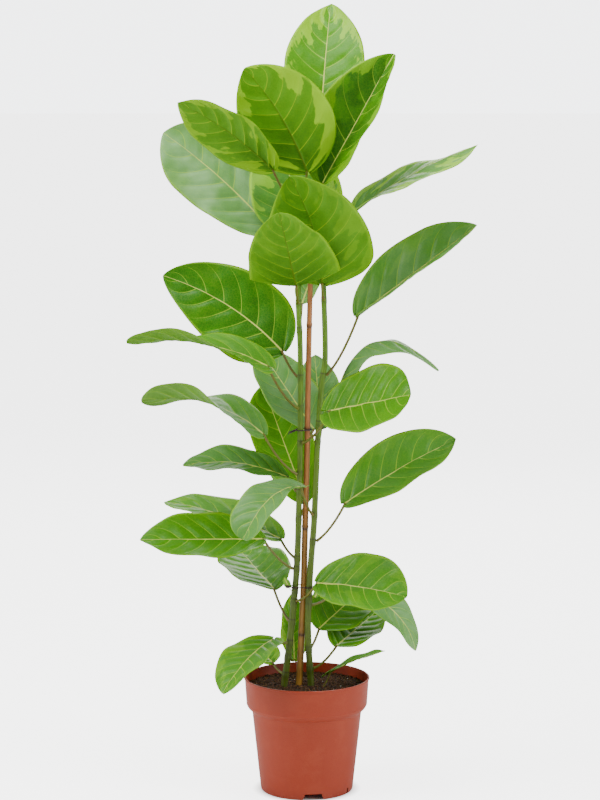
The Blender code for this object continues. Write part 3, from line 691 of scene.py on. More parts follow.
# %% Relief: swelling between the veins, a wavy margin, the rib below and the groove above
length = chord.vector("LENGTH")
is_left = v.maths("GREATER_THAN", 0.0)
vein_line = vein_count(take["Vein Pairs"], s, reach, is_left)
valley = (0.5 + 0.5 * (vein_line * math.tau).call("cosine")) ** 4.0
inside = (reach * 9.0).between() * ((1.0 - reach) * 3.5).between() * ((1.0 - s) * 6.0).between()
ripple = (s * 15.0 + take["Seed"] + 2.0 * is_left).call("sine") * reach * reach * reach
lumps = noise(net, joined(net, s * length, half * v, take["Seed"]), 26.0, 1.0) - 0.5
relief = (ripple * take["Wave"] + lumps * 0.006 * take["Width"] / 0.12 * (s * 6.0).between()
    - valley * inside * take["Pleat"])
rim = ((1.0 - reach ** 8.0).at_least(0.0) * (s * 60.0 - 0.06).between()
    * ((1.0 - s) * 60.0 - 0.06).between()) ** 0.5
from_rib = half * reach
rib_width = take["Rib"] * (1.25 - s)
rib = (1.0 - from_rib * from_rib / (rib_width * rib_width)).at_least(0.0) ** 0.5 * take["Rib"] * (1.1 - s)
groove = (1.0 - from_rib / (rib_width * 1.6)).at_least(0.0) * take["Rib"] * -0.35 * (1.0 - s)
is_upper = side.maths("GREATER_THAN", 0.0)
thick = take["Thickness"] * 0.5 + rib * (1.0 - is_upper) + groove * is_upper
shaped = flat.plus(normal.times(relief + side * thick * rim))

# %% Coordinates for the finishes, then the margin is closed
moved = stored(net, sheets, "leaf_sv", joined(net, s, v, length))
moved = stored(net, moved, "leaf_mm", joined(net, s * length, half * v, take["Seed"]))
moved = stored(net, moved, "leaf_tone", take["Tone"])
moved = step(net, "GeometryNodeSetPosition", {"Geometry": moved, "Position": shaped})
moved = skinned(net, moved, take["Upper Side"])
moved = step(net, "GeometryNodeSetMaterial", {"Geometry": moved, "Material": take["Under Side"],
    "Selection": side.maths("LESS_THAN", 0.0)})
closed_blade = step(net, "GeometryNodeMergeByDistance", {"Geometry": moved, "Distance": 0.00002})

# %% The stalk, a sagging tube a little thicker where it meets the stem
stalk_line = step(net, "GeometryNodeCurvePrimitiveLine", {"End": (0.0, 0.0, 1.0)})
stalk_line = step(net, "GeometryNodeResampleCurve", {"Curve": stalk_line, "Count": 18})
t = step(net, "GeometryNodeSplineParameter")
sag = joined(net, 0.0, 0.0, -0.10 * take["Stalk"].vector("LENGTH"))
stalk_place = take["Start"].plus(take["Stalk"].times(t)).plus(sag.times(4.0 * t * (1.0 - t)))
stalk_line = step(net, "GeometryNodeSetPosition", {"Geometry": stalk_line, "Position": stalk_place})
stalk_radius = take["Stalk Radius"] * (1.0 + 0.30 * (1.0 - t * 6.0).at_least(0.0)
    + 0.10 * (t * 8.0 - 7.0).at_least(0.0))
ring = step(net, "GeometryNodeCurvePrimitiveCircle", {"Resolution": 12, "Radius": 1.0})
stalk = step(net, "GeometryNodeCurveToMesh", {"Curve": stalk_line, "Profile Curve": ring,
    "Scale": stalk_radius, "Fill Caps": True})
stalk = stored(net, stalk, "leaf_sv", joined(net, t, 0.0, length))
stalk = stored(net, stalk, "leaf_mm", joined(net, t, 0.0, take["Seed"]))
stalk = stored(net, stalk, "leaf_tone", take["Tone"])
stalk = skinned(net, stalk, take["Stalk Skin"])
smooth = step(net, "GeometryNodeSetShadeSmooth", {"Geometry": gathered(net, (closed_blade, stalk))})
real = step(net, "GeometryNodeRealizeInstances", {"Geometry": smooth})
net.links.new(real.socket, leaf_end.inputs[0])
print("leaf tree nodes:", len(net.nodes))

# %% [markdown]
# ## The leaf's finish
# A fig leaf is waxy and mirrors the soft lights, and a pale painted sheen, a painted reflection of
# those lights, is mixed into its colour as well. Its midrib and side veins are cream. This kind is
# variegated: the middle is mid-green, and towards the margin it breaks into lime in patches that stop
# at the veins. All of that follows the leaf's own coordinates, from base to tip and from midrib to
# margin, so one node group reads them and gives the masks.

# %% Colours, and the masks that every leaf shares
def paint(red, green, blue):
    """A screen colour, 0 to 255, as the linear colour that shaders take."""
    levels = [c / 255 for c in (red, green, blue)]
    return (*[((c + 0.055) / 1.055) ** 2.4 if c > 0.04 else c / 12.92 for c in levels], 1.0)


marks_tree, mark, marks_end = new_tree("leaf markings", "ShaderNodeTree", [
    ("Place", VECTOR, None), ("Metres", VECTOR, None), ("Pairs", FLOAT, VEIN_PAIRS),
], [("Midrib", FLOAT), ("Veins", FLOAT), ("Between", FLOAT), ("Patch", FLOAT), ("Margin", FLOAT),
    ("Cloud", FLOAT), ("Network", FLOAT), ("Heart", FLOAT)])
s, v, length = mark["Place"].parts()
_, off, seed = mark["Metres"].parts()
reach = v.call("absolute")
is_left = v.maths("GREATER_THAN", 0.0)
vein_line = vein_count(mark["Pairs"], s, reach, is_left)
from_vein = (vein_line - vein_line.call("round")).call("absolute")
vein_metres = from_vein * length / mark["Pairs"]
vein_width = 0.0010 * (1.2 - reach)
veins = vein_metres.ramp(vein_width * 0.4, vein_width, 1.0, 0.0) * (1.0 - reach).ramp(0.02, 0.16)
midrib = off.call("absolute").ramp(0.0006 * (1.3 - s), 0.0016 * (1.2 - s), 1.0, 0.0)
blotch = noise(marks_tree, joined(marks_tree, vein_line * 0.8, reach * 1.6, seed * 3.7), 1.0, 3.0) - 0.5
patch = (reach + blotch * 2.4).ramp(0.62, 0.70)
margin = reach.ramp(0.90, 0.985)
cloud = noise(marks_tree, mark["Metres"], 22.0, 3.0)
cells = step(marks_tree, "ShaderNodeTexVoronoi", {"Vector": mark["Metres"], "Scale": 260.0},
    feature="DISTANCE_TO_EDGE")
network = cells.ramp(0.0, 0.12, 1.0, 0.0)
heart = (1.0 - s).ramp(0.25, 1.0) * (1.0 - reach).ramp(0.0, 0.9)
for name, value in (("Midrib", midrib), ("Veins", veins), ("Between", from_vein * 2.0), ("Patch", patch),
        ("Margin", margin), ("Cloud", cloud), ("Network", network), ("Heart", heart)):
    plug(marks_tree, value, marks_end.inputs[name])
print("markings nodes:", len(marks_tree.nodes))


# %% Both sides of a leaf
def attribute(tree, name):
    return step(tree, "ShaderNodeAttribute", out="Vector", attribute_name=name)


DEEP = paint(24, 84, 12)
SHADED_CELL = (0.50, 0.64, 0.40, 1.0)
SHADED_HEART = (0.42, 0.50, 0.30, 1.0)


def leaf_skin(name, heart_most, mature, young, patch_colour, veil, veil_most, vein, vein_most, rib,
        rough, shine, coat):
    """One side of a leaf, painted over in layers by the masks; the _most values are their strengths."""
    skin, tree, shader, _ = new_skin(name, mature[:3], rough)
    marks = tree.nodes.new("ShaderNodeGroup")
    marks.node_tree = marks_tree
    plug(tree, attribute(tree, "leaf_sv"), marks.inputs["Place"])
    plug(tree, attribute(tree, "leaf_mm"), marks.inputs["Metres"])
    m = {out.name: Field(tree, out) for out in marks.outputs}
    age, variegation, haze = attribute(tree, "leaf_tone").parts()
    cloud = m["Cloud"].ramp(0.32, 0.68)
    colour = blend(tree, age, mature, young)
    for amount, shade in ((0.35 * cloud + 0.25 * m["Between"], SHADED_CELL),
            (m["Heart"] * heart_most, SHADED_HEART)):
        colour = blend(tree, amount, colour, blend(tree, 1.0, colour, shade, "MULTIPLY"))
    colour = blend(tree, m["Patch"] * variegation, colour, patch_colour)
    deep = (0.0 - haze).between() * m["Cloud"].ramp(0.44, 0.52) * (1.0 - m["Patch"])
    colour = blend(tree, deep * 0.85, colour, DEEP)
    # The first layer is a painted sheen: a pale painted reflection of the soft lights, as strong as the
    # leaf's tone asks.
    for amount, layer in (((haze * veil_most * (0.55 + 0.6 * cloud)).between(), veil),
            (m["Margin"] * 0.55, patch_colour), (m["Network"] * 0.10, vein),
            (m["Veins"] * vein_most, vein), (m["Midrib"] * 0.92, rib)):
        colour = blend(tree, amount, colour, layer)
    plug(tree, rough - 0.06 + 0.14 * cloud, shader.inputs["Roughness"])
    height = 0.25 * m["Between"].ramp(0.0, 0.5) - 0.5 * m["Midrib"] - 0.10 * m["Network"] + 0.1 * m["Cloud"]
    painted(tree, colour, 0.35, 0.0012, height)
    shader.inputs["Specular IOR Level"].default_value = shine
    shader.inputs["Coat Weight"].default_value = coat
    shader.inputs["Coat Roughness"].default_value = 0.25
    return skin


upper_skin = leaf_skin("leaf_upper", heart_most=0.35, mature=paint(36, 110, 0), young=paint(100, 174, 0),
    patch_colour=paint(156, 210, 0), veil=paint(160, 206, 146), veil_most=0.75,
    vein=paint(176, 212, 56), vein_most=0.62, rib=paint(214, 222, 104),
    rough=0.36, shine=0.20, coat=0.06)
# The underside's dark olive midrib is painted shade: a thick midrib looks darker with the light behind it.
under_skin = leaf_skin("leaf_underside", heart_most=0.80, mature=paint(98, 148, 40),
    young=paint(92, 156, 0), patch_colour=paint(144, 196, 0),
    veil=paint(152, 184, 120), veil_most=0.60, vein=paint(158, 196, 10),
    vein_most=0.70, rib=paint(88, 116, 0), rough=0.6, shine=0.18, coat=0.0)


def stalk_skin():
    """Olive green, browner in streaks and where the stalk joins the stem."""
    skin, tree, _, place = new_skin("leaf_stalk", (0.1, 0.15, 0.02), 0.45)
    t, _, _ = attribute(tree, "leaf_sv").parts()
    age, _, _ = attribute(tree, "leaf_tone").parts()
    grain = noise(tree, place, 180.0, 3.0)
    colour = blend(tree, age, paint(86, 104, 8), paint(104, 138, 4))
    browner = grain.ramp(0.4, 0.7) * 0.55 + (1.0 - t * 7.0).between() * 0.4
    colour = blend(tree, browner, colour, paint(112, 84, 36))
    painted(tree, colour, 0.3, 0.0004, grain)
    return skin


stalk_surface = stalk_skin()

# %% [markdown]
# ## Thirty-six leaves
# Each leaf takes its numbers and its tone from the table. The finished leaf has to lie in the box
# of the CAD leaf it stands for, so that is measured and printed.

# %% Make every leaf and measure it against its CAD box
SMALL_LEAF = 0.02
FULL_THICKNESS_WIDTH = 0.06
ALLOWED_OFF_BOX = 0.006


def off_its_box(piece, want):
    """How far the piece's box is at most from the CAD box it should have, in metres."""
    corners = [v.co for v in piece.data.vertices]
    return max(abs(pick(c[i] for c in corners) - side[i])
        for pick, side in zip((min, max), want) for i in range(3))


def bake_leaf(name, entry, seed):
    thin = min(1.0, entry["width"] / FULL_THICKNESS_WIDTH)
    small = entry["width"] < SMALL_LEAF
    values = {"Start": leaf_start(entry), "Stalk": Vector(entry["petiole"]), "Blade": Vector(entry["blade"]),
        "Facing": direction(*entry["facing"]), "Thickness": BLADE_THICKNESS * thin,
        "Rib": RIB_HEIGHT * thin, "Stalk Radius": STALK_RADIUS * thin, "Vein Pairs": VEIN_PAIRS,
        "Pleat": PLEAT_DEPTH * thin, "Wave": WAVE_HEIGHT * thin, "Seed": seed,
        "Tone": Vector(entry["tone"]),
        "Columns": 17 if small else 41, "Rows": 33 if small else 97,
        "Upper Side": upper_skin, "Under Side": under_skin, "Stalk Skin": stalk_surface}
    for label in ("Width", "Arch", "Sway", "Widest", "Point", "Lobe"):
        values[label] = entry[label.lower()]
    for label in ("Twist", "Fold", "Unfold", "Cup"):
        values[label] = math.radians(entry[label.lower()])
    return run_tree(name.replace("leaf", "fig_leaf"), leaf_tree, bpy.data.meshes.new(name + "_seed"), values)


furthest = 0.0
leaf_faces = 0
for number, (name, entry) in enumerate(LEAVES.items()):
    piece = bake_leaf(name, entry, 1.7 * number + 0.4)
    off_by = off_its_box(piece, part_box(name))
    furthest = max(furthest, off_by)
    leaf_faces += len(piece.data.polygons)
    if off_by > ALLOWED_OFF_BOX:
        print(name, "differs from its CAD box by", round(off_by * 1000, 1), "mm")
    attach(piece, "root")
    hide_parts(name)
print("leaves made:", len(LEAVES), "faces:", leaf_faces,
    "furthest from a CAD box:", round(furthest * 1000, 1), "mm")

# %% [markdown]
# ## Stems, cane and wire: tubes along a route
# Stems, the bamboo cane and the tie wire are all tubes whose thickness changes along the way. A
# stem swells at every leaf and carries a dark ring there; the cane has a raised ring at each node.
# Python lays the route as a chain of points that know their thickness and how much of a scar they
# are, and one geometry tree turns any such chain into a tube with a little grain.

# %% The tube tree
tube_tree, take, tube_end = new_tree("tube along a route", "GeometryNodeTree", [
    ("Geometry", GEOMETRY, None), ("Sides", WHOLE, 20), ("Grain", FLOAT, 0.0002),
    ("Grain Size", FLOAT, 120.0), ("Skin", SURFACE, None),
], [("Geometry", GEOMETRY)])
chain = step(tube_tree, "GeometryNodeMeshToCurve", {"Mesh": take["Geometry"]})
thick = step(tube_tree, "GeometryNodeInputNamedAttribute", {"Name": "thick"}, data_type="FLOAT")
ring = step(tube_tree, "GeometryNodeCurvePrimitiveCircle", {"Resolution": take["Sides"], "Radius": 1.0})
tube = step(tube_tree, "GeometryNodeCurveToMesh", {"Curve": chain, "Profile Curve": ring, "Scale": thick,
    "Fill Caps": True})
place = step(tube_tree, "GeometryNodeInputPosition")
facing = step(tube_tree, "GeometryNodeInputNormal")
long_way = place.vector("MULTIPLY", (1.0, 1.0, 0.25))
grain = (noise(tube_tree, long_way, take["Grain Size"], 3.0) - 0.5) * take["Grain"] * 2.0
tube = step(tube_tree, "GeometryNodeSetPosition", {"Geometry": tube, "Offset": facing.times(grain)})
tube = step(tube_tree, "GeometryNodeSetShadeSmooth", {"Geometry": tube})
tube = step(tube_tree, "GeometryNodeRealizeInstances", {"Geometry": tube})
tube = skinned(tube_tree, tube, take["Skin"])
tube_tree.links.new(tube.socket, tube_end.inputs[0])
print("tube tree nodes:", len(tube_tree.nodes))


# %% A chain of points with a thickness and a scar value
def chain_mesh(name, points, thickness, scars=None):
    mesh = bpy.data.meshes.new(name)
    mesh.from_pydata(points, [(i, i + 1) for i in range(len(points) - 1)], [])
    for label, values in (("thick", thickness), ("scar", scars or [0.0] * len(points))):
        mesh.attributes.new(label, "FLOAT", "POINT").data.foreach_set("value", values)
    return mesh


def bell(value, middle, width):
    return math.exp(-((value - middle) / width) ** 2)


def finish_tube(name, node, slot, points, thickness, scars, sides, grain, size, skin):
    piece = run_tree(name, tube_tree, chain_mesh(name + "_chain", points, thickness, scars),
        {"Sides": sides, "Grain": grain, "Grain Size": size, "Skin": skin})
    piece.data.set_sharp_from_angle(angle=math.radians(60))
    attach(piece, "root")
    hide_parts(node)
    print(name, "faces", len(piece.data.polygons),
        "differs from its CAD box by", round(off_its_box(piece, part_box(node)) * 1000, 1), "mm")


# %% [markdown]
# ## Green bark and bamboo
# The stems are still green, streaked lengthwise, and duller towards the soil; each leaf scar is a
# dark ring. The cane is honey-coloured, rosier in its middle lengths, with fine dark streaks and
# dark nodes. Both read the height, the scar value and a noise stretched along the stem.

# %% Stem and cane finishes
def streaked_skin(name, rough, low, high, low_height, high_height, streak, scar_colour, streak_share,
        bump_size):
    """A colour that changes from low to high up the stem, under streaks and scars."""
    skin, tree, _, place = new_skin(name, low[:3], rough)
    _, _, z = place.parts()
    scar = step(tree, "ShaderNodeAttribute", out="Fac", attribute_name="scar")
    stretched = place.vector("MULTIPLY", (1.0, 1.0, 0.06))
    fine = noise(tree, stretched, 900.0, 4.0)
    broad = noise(tree, place.vector("MULTIPLY", (1.0, 1.0, 0.25)), 110.0, 3.0)
    colour = blend(tree, z.ramp(low_height, high_height), low, high)
    colour = blend(tree, fine.ramp(0.42, 0.66) * streak_share, colour, streak)
    colour = blend(tree, broad.ramp(0.50, 0.72) * streak_share * 0.9, colour, streak)
    colour = blend(tree, scar.between() * 0.8, colour, scar_colour)
    painted(tree, colour, 0.4, bump_size, fine + broad)
    return skin


stem_skin = streaked_skin("stem_bark", 0.5, paint(84, 104, 2), paint(100, 148, 0), 0.30, 0.95,
    paint(56, 76, 2), paint(52, 50, 8), 0.5, 0.0005)
cane_skin = streaked_skin("bamboo", 0.42, paint(172, 126, 44), paint(186, 116, 58), 0.30, 0.62,
    paint(128, 78, 40), paint(60, 34, 16), 0.55, 0.0003)


# %% The two stems
def make_stem(name, node, route, stem):
    top = route[-1][2]
    nodes = sorted(e["height"] for e in LEAVES.values() if e["stem"] == stem)
    foot = stem_place(route, 0.0)
    points = [Vector((foot.x, foot.y, -0.049)), Vector((foot.x, foot.y, -0.002))]
    thickness = [STEM_RADIUS_FOOT * 0.9, STEM_RADIUS_FOOT * 0.98]
    scars = [0.6, 0.6]
    steps = round(top / 0.0022)
    for k in range(1, steps + 1):
        height = top * k / steps
        swell = max(bell(height, n - 0.002, 0.0045) for n in nodes)
        ring = max(bell(height, n + 0.004, 0.0011) for n in nodes)
        radius = stem_radius(route, height) * (1 + (NODE_SWELLING - 1) * swell)
        points.append(stem_place(route, height))
        thickness.append(radius + 0.0003 * ring)
        scars.append(min(1.0, ring + 0.35 * swell + 0.5 * max(0.0, 1 - height / 0.03)))
    lean = (points[-1] - points[-2]).normalized()
    for k in range(1, 9):
        share = k / 8
        points.append(stem_place(route, top) + lean * BUD_LENGTH * share)
        thickness.append(STEM_RADIUS_TOP * (1 - share ** 1.6) + 0.0001)
        scars.append(0.0)
    lift = Vector((0, 0, SOIL_LEVEL))
    finish_tube(name, node, "bark", [p + lift for p in points], thickness, scars,
        20, 0.00022, 130.0, stem_skin)


make_stem("fig_stem_left", "stem_left", STEM_LEFT_ROUTE, "left")
make_stem("fig_stem_right", "stem_right", STEM_RIGHT_ROUTE, "right")

# %% The bamboo cane
CANE_DEPTH = 0.140
cane_top = CANE_ROUTE[-1][2]
heights = [-CANE_DEPTH, -0.004] + [cane_top * k / 300 for k in range(301)]
points = [smooth_route(CANE_ROUTE, h) + Vector((0, 0, SOIL_LEVEL)) for h in heights]
thickness = [cane_radius(h) + max(CANE_RING * bell(h, n, 0.0022) - 0.0004 * bell(h, n - 0.004, 0.0012)
    for n in CANE_NODES) for h in heights]
scars = [max(bell(h, n - 0.0035, 0.0022) + 0.4 * bell(h, n, 0.003) for n in CANE_NODES) for h in heights]
finish_tube("cane_of_bamboo", "bamboo_cane", "bamboo", points, thickness, scars, 24, 0.00012, 90.0, cane_skin)

# %% [markdown]
# ## Two twists of wire
# A soft dark wire holds the left stem to the cane higher up, and both stems to the cane lower down.
# Each is one length: a tail, once round everything it holds, and a second tail that is twisted
# with the first. The twist is a pair of helices, half a turn apart.

# %% The wire and its two ties
WIRE_RADIUS = 0.0010
WIRE_STANDS_OFF = 0.001
UPPER_TIE_HEIGHT = 0.434
LOWER_TIE_HEIGHT = 0.170
wire_skin, tree, _, place = new_skin("tie_wire", (0.02, 0.008, 0.012), 0.45)
rust = noise(tree, place, 700.0, 3.0)
colour = blend(tree, rust.ramp(0.4, 0.7), paint(44, 26, 34), paint(84, 52, 44))
painted(tree, colour, 0.3, 0.0002, rust)


def tie_loop(height, held):
    """The wire's turn round the held pieces, as a stretched loop that starts at its left end."""
    circles = []
    for route in held:
        if route is CANE_ROUTE:
            place, radius = smooth_route(route, height), cane_radius(height)
        else:
            place, radius = stem_place(route, height), stem_radius(route, height)
        circles.append((place.xy, radius + WIRE_RADIUS + WIRE_STANDS_OFF))
    middle = sum((place for place, _ in circles), Vector((0, 0))) / len(circles)
    steps = 72
    spots = []
    for k in range(steps + 1):
        turn = math.radians(200) + 2 * math.pi * k / steps
        way = Vector((math.cos(turn), math.sin(turn)))
        spots.append((way, max((place - middle).dot(way) + radius for place, radius in circles)))
    loop = []
    for k, (way, reach) in enumerate(spots):
        slope = (spots[(k + 1) % steps][1] - spots[(k - 1) % steps][1]) / (4 * math.pi / steps)
        spot = middle + way * reach + Vector((-way.y, way.x)) * slope
        loop.append(Vector((spot.x, spot.y, height + 0.002 * (k / steps - 0.5))))
    return loop


def twisted_tail(start, way, length, phase, turns):
    """One strand of a twisted pair that leaves the loop, opening at its end."""
    way = way.normalized()
    over = Vector((0, 0, 1))
    flank = way.cross(over)
    strand = []
    for k in range(1, 33):
        share = k / 32
        turn = phase + 2 * math.pi * turns * share
        gap = WIRE_RADIUS * 1.1 * min(1.0, share * 6) + 0.0022 * max(0.0, share - 0.7)
        strand.append(start + way * length * share + (over * math.cos(turn) + flank * math.sin(turn)) * gap)
    return strand


def make_tie(name, node, height, held, way, length):
    loop = tie_loop(height, held)
    knot = (loop[0] + loop[-1]) / 2 + way.normalized() * 0.0006
    first = twisted_tail(knot, way, length, 0.0, 2.5)
    second = twisted_tail(knot, way, length * 0.86, math.pi, 2.5)
    points = [p + Vector((0, 0, SOIL_LEVEL)) for p in list(reversed(first)) + loop + second]
    finish_tube(name, node, "wire", points, [WIRE_RADIUS] * len(points), None, 8, 0.0, 100.0, wire_skin)


make_tie("wire_tie_upper", "tie_upper", UPPER_TIE_HEIGHT, (STEM_LEFT_ROUTE, CANE_ROUTE),
    Vector((-1.0, -0.35, -0.35)), 0.014)
make_tie("wire_tie_lower", "tie_lower", LOWER_TIE_HEIGHT,
    (STEM_LEFT_ROUTE, CANE_ROUTE, STEM_RIGHT_ROUTE), Vector((-0.6, -0.8, 0.15)), 0.012)

# %% [markdown]
# ## The nursery pot
# The pot is one thin moulding: a pad and a raised drain channel underneath, a tapered wall, a
# shoulder, an upright band and a bead at the lip. Turning one profile gives it all. Every corner
# of the profile is rounded first, as on a real moulding, because a sharp corner never catches the
# light. The drain notches and holes are cut afterwards.

# %% The pot's profile with rounded corners
RIM_RADIUS = (POT_HIGH.x - POT_LOW.x) / 2
RIM_TAPER = 0.004
BEAD_HEIGHT = 0.003
BEAD_OUT = 0.0012
BAND_HEIGHT = 0.045
SHOULDER_HEIGHT = 0.012
SHOULDER_STEP = 0.0095
BASE_RADIUS = 0.0775
POT_WALL = 0.0018
PAD_RADIUS = 0.045
CHANNEL_HEIGHT = 0.011
FOOT_RING_WIDTH = 0.006
POT_SEGMENTS = 160
band_low = POT_HEIGHT - BAND_HEIGHT
shoulder_low = band_low - SHOULDER_HEIGHT
band_radius = RIM_RADIUS - RIM_TAPER
body_top = band_radius - SHOULDER_STEP
bead_low = POT_HEIGHT - BEAD_HEIGHT
step_up = CHANNEL_HEIGHT + POT_WALL
inner_taper = (body_top - BASE_RADIUS) / shoulder_low
# radius, height and how much the corner is rounded
pot_corners = [
    (PAD_RADIUS + POT_WALL, 0.0, 0.0008), (PAD_RADIUS + POT_WALL, CHANNEL_HEIGHT, 0.0008),
    (BASE_RADIUS - FOOT_RING_WIDTH, CHANNEL_HEIGHT, 0.0008), (BASE_RADIUS - FOOT_RING_WIDTH, 0.0, 0.0008),
    (BASE_RADIUS - 0.0012, 0.0, 0.0020), (BASE_RADIUS, 0.0040, 0.0016),
    (BASE_RADIUS + (body_top - BASE_RADIUS) * 0.085, 0.0150, 0.0),
    (body_top, shoulder_low, 0.0030),
    (body_top + SHOULDER_STEP * 0.78, band_low - SHOULDER_HEIGHT * 0.42, 0.0030),
    (band_radius + 0.0002, band_low, 0.0007), (band_radius + 0.0002, band_low + 0.0022, 0.0005),
    (RIM_RADIUS - BEAD_OUT, bead_low, 0.0002), (RIM_RADIUS, bead_low + 0.0005, 0.0005),
    (RIM_RADIUS, POT_HEIGHT, 0.0007), (RIM_RADIUS - BEAD_OUT - POT_WALL, POT_HEIGHT, 0.0005),
    (band_radius - POT_WALL, band_low + POT_WALL, 0.0020), (body_top - POT_WALL, shoulder_low, 0.0030),
    (BASE_RADIUS + inner_taper * step_up - POT_WALL, step_up, 0.0015), (PAD_RADIUS, step_up, 0.0008),
    (PAD_RADIUS, POT_WALL, 0.0008),
]


def rounded(corners, start, end, arc=5):
    """The profile from start to end, with a short arc in place of every corner."""
    out = [Vector(start)]
    for k, (radius, height, cut) in enumerate(corners):
        here = Vector((radius, height))
        if cut == 0.0:
            out.append(here)
            continue
        before = Vector(start) if k == 0 else Vector(corners[k - 1][:2])
        after = Vector(end) if k == len(corners) - 1 else Vector(corners[k + 1][:2])
        first = here + (before - here).normalized() * min(cut, (before - here).length * 0.45)
        last = here + (after - here).normalized() * min(cut, (after - here).length * 0.45)
        for j in range(arc + 1):
            t = j / arc
            out.append(first * (1 - t) ** 2 + here * 2 * t * (1 - t) + last * t ** 2)
    out.append(Vector(end))
    return out


def mesh_of(shape, name):
    """A bmesh as a mesh, with its faces turned outward."""
    bmesh.ops.recalc_face_normals(shape, faces=shape.faces)
    mesh = bpy.data.meshes.new(name)
    shape.to_mesh(mesh)
    shape.free()
    return mesh


def turned(name, profile, segments):
    """A closed mesh turned about Z from a profile that starts and ends on the axis."""
    shape = bmesh.new()
    low = shape.verts.new((0, 0, profile[0].y))
    high = shape.verts.new((0, 0, profile[-1].y))
    rows = []
    for point in profile[1:-1]:
        turns = [2 * math.pi * i / segments for i in range(segments)]
        rows.append([shape.verts.new((point.x * math.cos(t), point.x * math.sin(t), point.y)) for t in turns])
    for i in range(segments):
        j = (i + 1) % segments
        shape.faces.new((low, rows[0][i], rows[0][j]))
        shape.faces.new((high, rows[-1][i], rows[-1][j]))
        for a, b in zip(rows, rows[1:]):
            shape.faces.new((a[i], a[j], b[j], b[i]))
    return mesh_of(shape, name)


pot_profile = rounded(pot_corners, (0.0, 0.0), (0.0, POT_WALL))
print("pot profile points:", len(pot_profile))


# %% Cut the notches, slits and drain holes
NOTCH_ANGLES = (278, 98)
NOTCH_WIDTHS = (0.037, 0.028)  # at the foot and at the top
SLIT_ANGLES = (331, 151)
SLIT_WIDTH = 0.005
DRAIN_HOLES = 6
DRAIN_HOLE_RADIUS = 0.005


def wedge(angle, width_low, width_high):
    """A block across the foot ring, as high as the drain channel, with sloping sides."""
    turn = math.radians(angle)
    out = Vector((math.cos(turn), math.sin(turn), 0))
    along = Vector((-out.y, out.x, 0))
    shape = bmesh.new()
    rings = []
    for reach in (BASE_RADIUS - FOOT_RING_WIDTH - 0.004, BASE_RADIUS + 0.010):
        low = out * reach - Vector((0, 0, 0.002))
        high = out * reach + Vector((0, 0, CHANNEL_HEIGHT - 0.0003))
        half_low, half_high = along * width_low / 2, along * width_high / 2
        rings.append([shape.verts.new(p) for p in (low - half_low, low + half_low,
            high + half_high, high - half_high)])
    for i in range(4):
        j = (i + 1) % 4
        shape.faces.new((rings[0][i], rings[0][j], rings[1][j], rings[1][i]))
    shape.faces.new(rings[0])
    shape.faces.new(rings[1])
    return mesh_of(shape, "wedge")


def drill(x, y, radius, low, high):
    shape = bmesh.new()
    made = bmesh.ops.create_cone(shape, cap_ends=True, segments=24, radius1=radius, radius2=radius,
        depth=high - low)
    bmesh.ops.translate(shape, verts=made["verts"], vec=(x, y, (high + low) / 2))
    return mesh_of(shape, "drill")


pot = placed("nursery_pot", turned("nursery_pot", pot_profile, POT_SEGMENTS))
cutters = [wedge(angle, *NOTCH_WIDTHS) for angle in NOTCH_ANGLES]
cutters += [wedge(angle, SLIT_WIDTH, SLIT_WIDTH) for angle in SLIT_ANGLES]
channel_middle = (PAD_RADIUS + BASE_RADIUS - FOOT_RING_WIDTH + POT_WALL) / 2
for number in range(DRAIN_HOLES):
    turn = 2 * math.pi * number / DRAIN_HOLES
    cutters.append(drill(channel_middle * math.cos(turn), channel_middle * math.sin(turn),
        DRAIN_HOLE_RADIUS, CHANNEL_HEIGHT - POT_WALL, CHANNEL_HEIGHT + 2 * POT_WALL))
for mesh in cutters:
    cutter = placed("cutter", mesh)
    cut = pot.modifiers.new("cut", "BOOLEAN")
    cut.operation = "DIFFERENCE"
    cut.solver = "EXACT"
    cut.object = cutter
bpy.context.view_layer.update()
cut_mesh = bpy.data.meshes.new_from_object(pot.evaluated_get(bpy.context.evaluated_depsgraph_get()))
pot.modifiers.clear()
pot.data = cut_mesh
for spare in [o for o in bpy.data.objects if o.name.startswith("cutter")]:
    bpy.data.objects.remove(spare)
cut_mesh.shade_smooth()
cut_mesh.set_sharp_from_angle(angle=math.radians(42))
print("pot faces:", len(cut_mesh.polygons))

# %% [markdown]
# ## Terracotta-coloured plastic
# The colour is moulded in: a warm brick red, a little lighter where the wall turns towards the
# lights, with a fine speckle and a dusty bloom. The surface is a soft sheen, not a gloss, and the
# wall is a little darker towards its foot.

# %% The pot's finish
pot_skin, tree, shader, place = new_skin("pot_plastic", (0.43, 0.08, 0.035), 0.42)
_, _, z = place.parts()
speckle = noise(tree, place, 900.0, 2.0)
dust = noise(tree, place, 38.0, 4.0)
streak = noise(tree, place.vector("MULTIPLY", (1.0, 1.0, 0.15)), 60.0, 3.0)
colour = blend(tree, speckle.ramp(0.35, 0.7) * 0.35, paint(152, 48, 16), paint(174, 66, 30))
colour = blend(tree, dust.ramp(0.45, 0.75) * 0.14, colour, paint(188, 92, 62))
colour = blend(tree, streak.ramp(0.55, 0.8) * 0.20, colour, paint(132, 38, 18))
foot = (1.0 - z * 60.0).between() * 0.35
colour = blend(tree, foot, colour, paint(120, 50, 34))
plug(tree, 0.40 + 0.16 * dust, shader.inputs["Roughness"])
shader.inputs["Specular IOR Level"].default_value = 0.4
painted(tree, colour, 0.25, 0.0002, speckle)
cut_mesh.materials.clear()
cut_mesh.materials.append(pot_skin)
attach(pot, "root")
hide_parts("pot")

# %% [markdown]
# ## Potting soil
# Nursery soil is dark peat with crumbs, shreds of bark and fibre, and a few white grains of
# perlite. The body of it is a turned solid whose top is pushed up and down by noise. The loose
# bits repeat by the hundred, so a geometry tree scatters them over the top.

